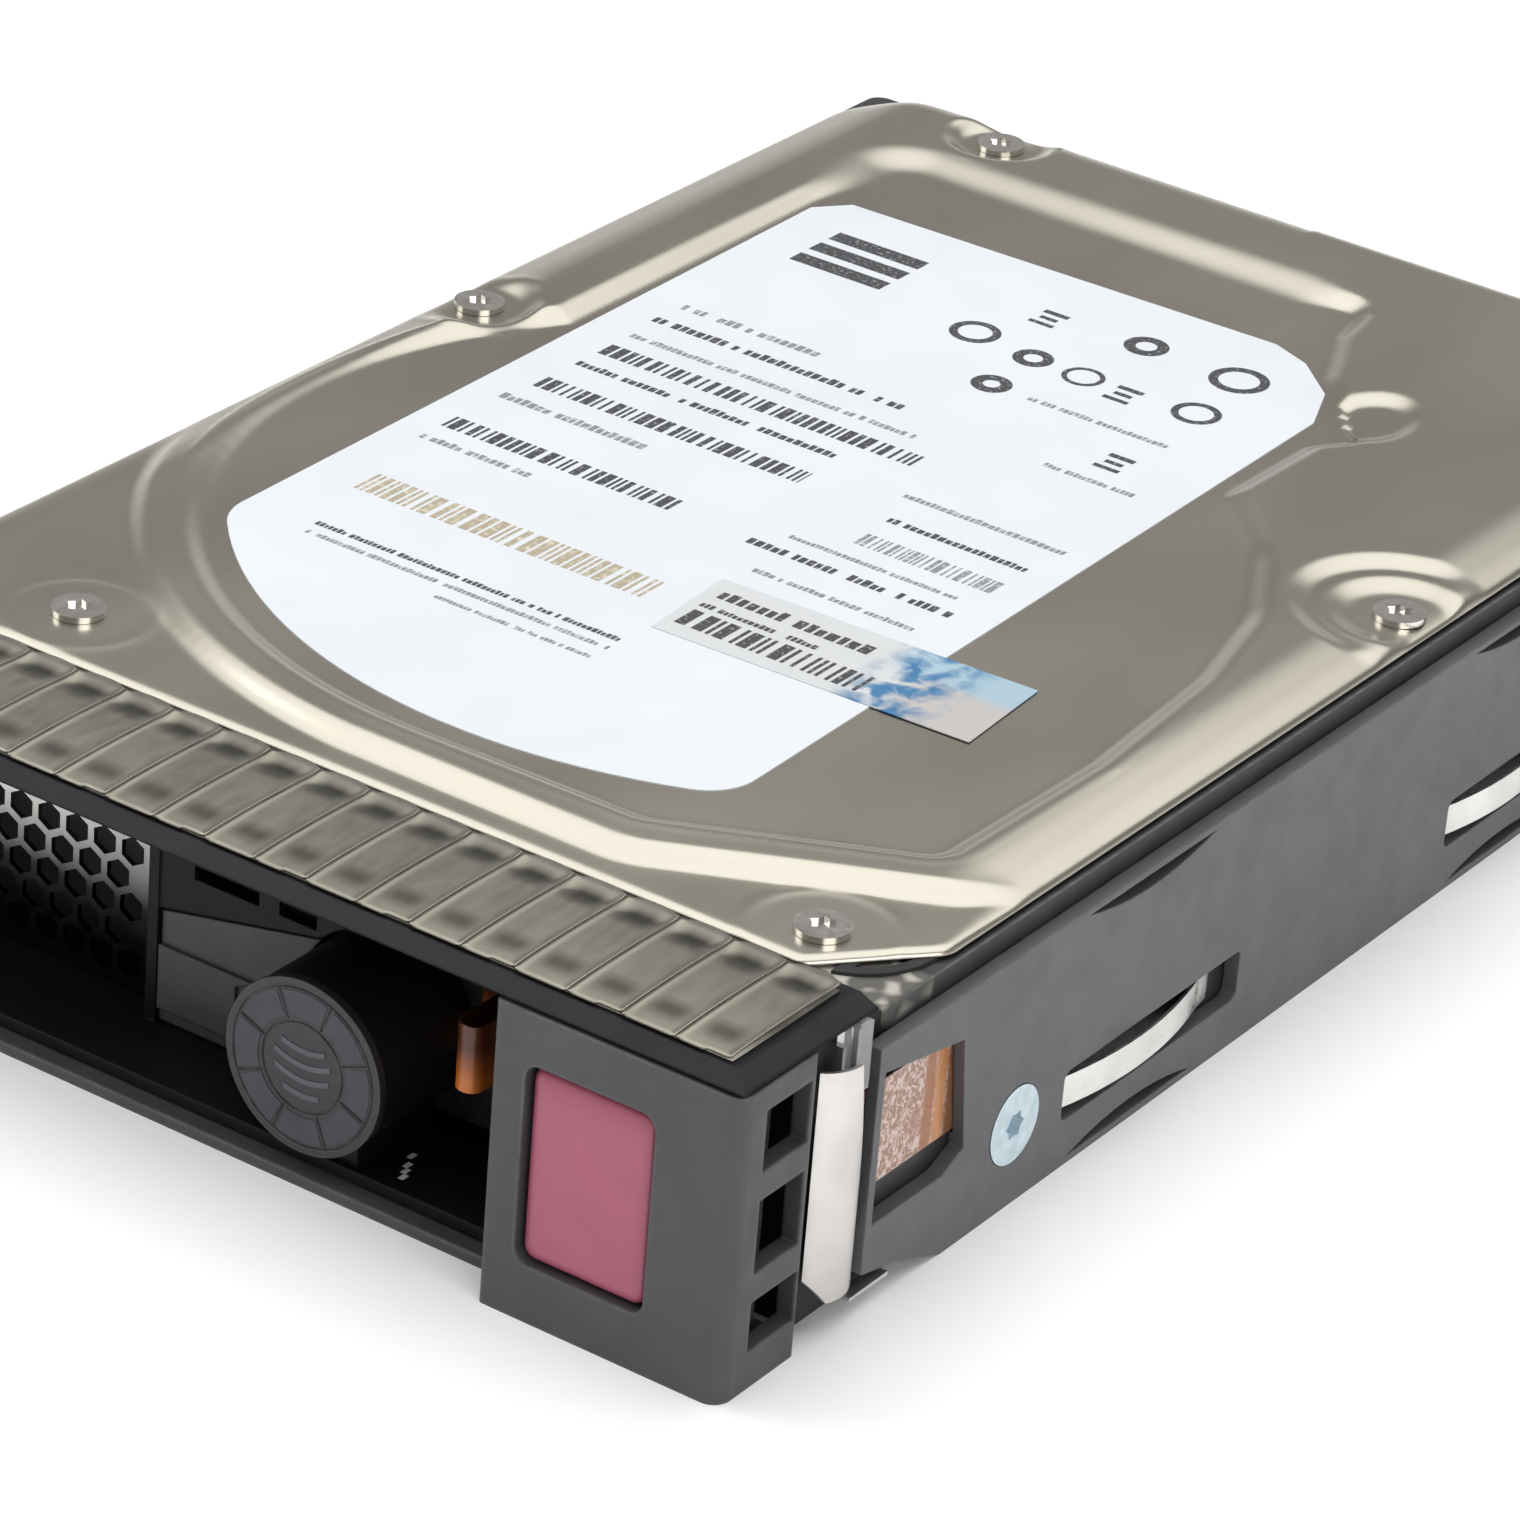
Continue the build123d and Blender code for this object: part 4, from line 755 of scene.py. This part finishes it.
# ---------------------------------------------------------------- release button
def button_cap():
    """Crowned push button with rounded corners and a soft front edge."""
    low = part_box("release_button")[0]
    x0, x1 = 33.0, 44.3
    z0, z1 = 5.2, 21.8
    face_y = low.y / MM
    rear_y = face_y + 3.9
    outline_radius = 1.1
    rings = [(0.0, rear_y), (0.0, face_y + 0.95), (0.06, face_y + 0.62), (0.22, face_y + 0.36),
             (0.5, face_y + 0.2), (1.1, face_y + 0.11), (2.4, face_y + 0.04), (3.9, face_y + 0.01)]
    vertices, faces = [], []
    for inset, y in rings:
        radius = max(outline_radius - inset * 0.4, 0.45)
        corners = [(x0 + inset, z0 + inset), (x1 - inset, z0 + inset),
                   (x1 - inset, z1 - inset), (x0 + inset, z1 - inset)]
        vertices += [(x, y, z) for x, z in rounded_outline(corners, [radius] * 4, 7)]
    count = len(vertices) // len(rings)
    for r in range(len(rings) - 1):
        for k in range(count):
            a, b = r * count + k, r * count + (k + 1) % count
            faces.append((a, b, b + count, a + count))
    faces.append(tuple(range(count)))
    faces.append(tuple(range(len(vertices) - count, len(vertices))))
    cap = piece("button_cap", vertices, faces, finishes["button_plastic"], "button")
    lip = 0.8
    flange = ((x0 - lip, x1 + lip), (face_y + 1.6, face_y + 2.5), (z0 - lip, z1 + lip))
    skirt, skirt_faces = boxes_mesh([flange])
    rim = piece("button_flange", skirt, skirt_faces, finishes["button_plastic"], "button", smooth=False)
    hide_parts("release_button")


# ---------------------------------------------------------------- indicator details
def ring_arc(centre, radii, angles, y_range, steps=12):
    """A flat sector of a ring standing in the X-Z plane, as a closed solid."""
    cx, cz = centre
    rows = []
    for a in np.linspace(math.radians(angles[0]), math.radians(angles[1]), steps):
        rows.append([(cx + r * math.cos(a), cz + r * math.sin(a)) for r in radii])
    front = np.array([[(x, y_range[0], z) for x, z in row] for row in rows])
    back = np.array([[(x, y_range[1], z) for x, z in row] for row in rows])
    return sheet_solid(front, back)


def joined(parts):
    vertices, faces = [], []
    for part_vertices, part_faces in parts:
        start = len(vertices)
        vertices += list(part_vertices)
        faces += [tuple(start + k for k in face) for face in part_faces]
    return vertices, faces


def indicator_marks():
    """Eight raised windows round the indicator, and bowed bars in its middle."""
    low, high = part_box("activity_ring_lens")
    centre = ((low.x + high.x) / 2 / MM, (low.z + high.z) / 2 / MM)
    y = low.y / MM
    windows = [ring_arc(centre, (4.35, 6.5), (45 * i + 25.5, 45 * i + 64.5), (y - 0.05, y + 0.05))
               for i in range(8)]
    made = piece("indicator_windows", *joined(windows), lens_segment().material, "carrier", smooth=False)
    bars = []
    for k, half in ((-2.2, 1.7), (-0.9, 2.6), (0.4, 2.7), (1.7, 2.1)):
        top_row, low_row = [], []
        for x in np.linspace(-half, half, 11):
            z = k + 0.09 * x * x - 0.25
            top_row.append((centre[0] + x, z + 0.24 + centre[1]))
            low_row.append((centre[0] + x, z - 0.24 + centre[1]))
        front = np.array([[(x, y - 0.06, z) for x, z in row] for row in (low_row, top_row)])
        back = front + np.array([0, 0.1, 0])
        bars.append(sheet_solid(front, back))
    made = piece("indicator_bars", *joined(bars), lens_bar().material, "carrier", smooth=False)


# ---------------------------------------------------------------- prints on the labels
PRINT_THICK = 0.02


def bar_code(rng, x_range, y_range, z, narrow=0.22):
    """Upright bars of chance widths."""
    boxes = []
    x = x_range[0]
    while x < x_range[1]:
        width = narrow * rng.choice((1, 1, 2, 3))
        boxes.append(((x, min(x + width, x_range[1])), y_range, (z, z + PRINT_THICK)))
        x += width + narrow * rng.choice((1, 1, 2))
    return boxes


def block_line(rng, x_range, y, z, tall):
    """A row of small plain blocks in groups: it reads as print from afar and has no letters."""
    boxes = []
    x = x_range[0]
    while x < x_range[1] - tall * 0.6:
        if rng.random() < 0.13:
            x += tall * 0.5
            continue
        wide = tall * rng.uniform(0.36, 0.6)
        high = tall * rng.uniform(0.72, 1.0)
        boxes.append(((x, x + wide), (y, y + high), (z, z + PRINT_THICK)))
        x += wide + tall * 0.16
    return boxes


def flat_ring(centre, radii, z, steps=36):
    """A flat ring lying on a label."""
    cx, cy = centre
    vertices, faces = [], []
    for k in range(steps):
        a = 2 * math.pi * k / steps
        for r in radii:
            for h in (z, z + PRINT_THICK):
                vertices.append((cx + r * math.cos(a), cy + r * math.sin(a), h))
    for k in range(steps):
        a, b = 4 * k, 4 * ((k + 1) % steps)
        faces += [(a, a + 2, b + 2, b), (a + 1, b + 1, b + 3, a + 3),
                  (a, b, b + 1, a + 1), (a + 2, a + 3, b + 3, b + 2)]
    return vertices, faces


def shifted(boxes):
    """Boxes whose plan is given from the drive's front edge, moved to the object's frame."""
    return [(xs, (ys[0] + DRIVE_FRONT, ys[1] + DRIVE_FRONT), zs) for xs, ys, zs in boxes]


def label_print():
    """Generic prints of the large label: bar codes, rows of blocks, bars and rings."""
    rng = random.Random(7)
    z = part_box("main_label")[1].z / MM
    black, grey, tan = [], [], []
    grey += block_line(rng, (-33.3, -18.0), 89.2, z, 1.25)
    black += block_line(rng, (-33.6, -5.5), 85.2, z, 1.3)
    black += bar_code(rng, (-33.0, 0.8), (76.2, 78.6), z, 0.3)
    grey += block_line(rng, (-33.0, -2.0), 81.0, z, 0.9)
    black += block_line(rng, (-33.0, -4.5), 72.8, z, 1.1)
    black += bar_code(rng, (-33.0, -4.6), (66.6, 69.0), z, 0.28)
    grey += block_line(rng, (-33.8, -17.5), 62.6, z, 1.2)
    black += bar_code(rng, (-33.8, -9.6), (54.4, 56.8), z, 0.28)
    grey += block_line(rng, (-33.8, -21.0), 51.2, z, 1.0)
    tan += bar_code(rng, (-31.6, -1.6), (39.4, 43.0), z, 0.3)
    black += block_line(rng, (-30.0, 2.4), 31.6, z, 0.75)
    grey += block_line(rng, (-29.6, 2.6), 29.8, z, 0.7)
    grey += block_line(rng, (-14.0, 2.0), 27.6, z, 0.6)
    grey += block_line(rng, (0.5, 15.5), 95.0, z, 0.8)
    grey += block_line(rng, (9.0, 18.8), 84.4, z, 0.8)
    grey += block_line(rng, (3.6, 20.4), 70.6, z, 0.9)
    grey += bar_code(rng, (5.6, 19.4), (60.2, 62.6), z, 0.2)
    black += block_line(rng, (4.8, 20.0), 65.6, z, 1.0)
    black += block_line(rng, (-1.2, 19.8), 54.0, z, 1.2)
    grey += block_line(rng, (1.0, 19.0), 57.2, z, 0.7)
    grey += block_line(rng, (2.4, 19.4), 49.8, z, 0.8)
    for y in (105.6, 108.8, 112.0):
        black.append(((-32.6, -22.6), (y, y + 2.0), (z, z + PRINT_THICK)))
    for x, y in ((6.3, 102.9), (13.4, 90.2), (-7.6, 112.2)):
        black.append(((x - 1.3, x + 1.3), (y, y + 0.7), (z, z + PRINT_THICK)))
        black.append(((x - 0.9, x + 0.9), (y - 1.3, y - 0.7), (z, z + PRINT_THICK)))
        black.append(((x - 1.3, x + 1.3), (y - 2.6, y - 2.0), (z, z + PRINT_THICK)))
    rings = [((2.2, 112.4), (1.0, 2.1)), ((12.3, 112.0), (1.9, 2.8)), ((-10.9, 104.0), (1.6, 2.4)),
             ((-3.9, 102.9), (0.9, 1.9)), ((1.6, 102.7), (1.5, 2.0)), ((13.2, 103.2), (1.6, 2.3)),
             ((-3.6, 95.6), (0.8, 1.9))]
    round_marks = [flat_ring((x, y + DRIVE_FRONT), radii, z) for (x, y), radii in rings]
    for name, parts, ink in (
        ("label_bars_black", [boxes_mesh(shifted(black))] + round_marks, print_ink()),
        ("label_bars_grey", [boxes_mesh(shifted(grey))], grey_ink()),
        ("label_bars_tan", [boxes_mesh(shifted(tan))], tan_ink()),
    ):
        made = piece(name, *joined(parts), ink.material, "carrier", smooth=False)


def sticker_print():
    """A row of bars and two rows of blocks on the small sticker."""
    rng = random.Random(11)
    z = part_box("small_label")[1].z / MM
    boxes = bar_code(rng, (3.2, 21.6), (37.6, 40.6), z, 0.34)
    boxes += block_line(rng, (3.2, 19.4), 43.6, z, 1.7)
    boxes += block_line(rng, (3.0, 15.0), 41.4, z, 0.8)
    made = piece("sticker_bars", *boxes_mesh(shifted(boxes)), print_ink().material, "carrier", smooth=False)


def floor_mark():
    """Four small pale dots in a slanted row on the bezel's floor."""
    top = 2.3
    boxes = [((x, x + 0.5), (FRONT + y, FRONT + y + 0.8), (top, top + PRINT_THICK))
             for x, y in ((16.6, 6.9), (16.2, 7.7), (15.8, 8.5), (15.2, 9.8))]
    made = piece("floor_mark", *boxes_mesh(boxes), white_ink().material, "carrier", smooth=False)


# ---------------------------------------------------------------- stage, light and camera
def stage_floor():
    """A wide pale sheet under the object."""
    size = 6.0
    corners = [(-size, -size, 0), (size, -size, 0), (size, size, 0), (-size, size, 0)]
    mesh = bpy.data.meshes.new("floor")
    mesh.from_pydata(corners, [], [(0, 1, 2, 3)])
    floor = bpy.data.objects.new("floor", mesh)
    bpy.context.scene.collection.objects.link(floor)
    mesh.materials.append(floor_paper().material)


def studio_world():
    """Soft room: bright horizon, dim warm middle, mid grey overhead."""
    world = bpy.data.worlds.new("studio")
    world.use_nodes = True
    tree = world.node_tree
    background = tree.nodes["Background"]
    coords = tree.nodes.new("ShaderNodeTexCoord")
    split = tree.nodes.new("ShaderNodeSeparateXYZ")
    ramp = tree.nodes.new("ShaderNodeValToRGB")
    stops = [(0.0, (1, 1, 1)), (0.12, (0.95, 0.95, 0.95)), (0.3, (0.42, 0.41, 0.4)),
             (0.6, (0.3, 0.29, 0.28)), (0.85, (0.5, 0.5, 0.5)), (1.0, (0.5, 0.5, 0.5))]
    elements = ramp.color_ramp.elements
    elements[0].position, elements[0].color = stops[0][0], (*stops[0][1], 1)
    elements[1].position, elements[1].color = stops[-1][0], (*stops[-1][1], 1)
    for position, colour in stops[1:-1]:
        elements.new(position).color = (*colour, 1)
    tree.links.new(coords.outputs["Generated"], split.inputs[0])
    tree.links.new(split.outputs["Z"], ramp.inputs[0])
    tree.links.new(ramp.outputs[0], background.inputs["Color"])
    background.inputs["Strength"].default_value = 0.85
    bpy.context.scene.world = world


def soft_box(name, place, aim, size, power):
    light = bpy.data.lights.new(name, "AREA")
    light.shape = "RECTANGLE"
    light.size, light.size_y = size
    light.energy = power
    lamp = bpy.data.objects.new(name, light)
    lamp.location = place
    lamp.rotation_euler = (Vector(aim) - Vector(place)).to_track_quat("-Z", "Y").to_euler()
    bpy.context.scene.collection.objects.link(lamp)


def studio_lights():
    soft_box("overhead", (-0.15, 0.15, 1.2), (0, 0, 0), (2.2, 2.0), 23.0)
    soft_box("right_fill", (0.9, -0.5, 0.5), (0, 0, 0), (0.8, 0.5), 4.0)
    soft_box("left_fill", (-0.9, -0.4, 0.6), (0, 0, 0), (0.6, 0.6), 3.0)


def camera():
    """The view the object is judged from: front right, a little above."""
    place = Vector((0.271684, -0.425697, 0.268104))
    forward = Vector((-0.48036, 0.74301, -0.46604)).normalized()
    level_right = forward.cross(Vector((0, 0, 1))).normalized()
    level_down = forward.cross(level_right)
    roll = math.radians(-4.744)
    right = level_right * math.cos(roll) + level_down * math.sin(roll)
    up = -forward.cross(right)
    lens = bpy.data.cameras.new("camera")
    lens.lens = 155.78
    lens.sensor_width = 36.0
    lens.clip_start = 0.01
    view = bpy.data.objects.new("camera", lens)
    turn = Matrix((right, up, -forward)).transposed().to_4x4()
    view.matrix_world = Matrix.Translation(place) @ turn
    bpy.context.scene.collection.objects.link(view)
    bpy.context.scene.camera = view
    bpy.context.scene.view_settings.view_transform = "Standard"


camera()
stage_floor()
studio_world()
studio_lights()
dress_frame()
cover_sheet()
contact_strip()
button_cap()
indicator_marks()
label_print()
sticker_print()
floor_mark()
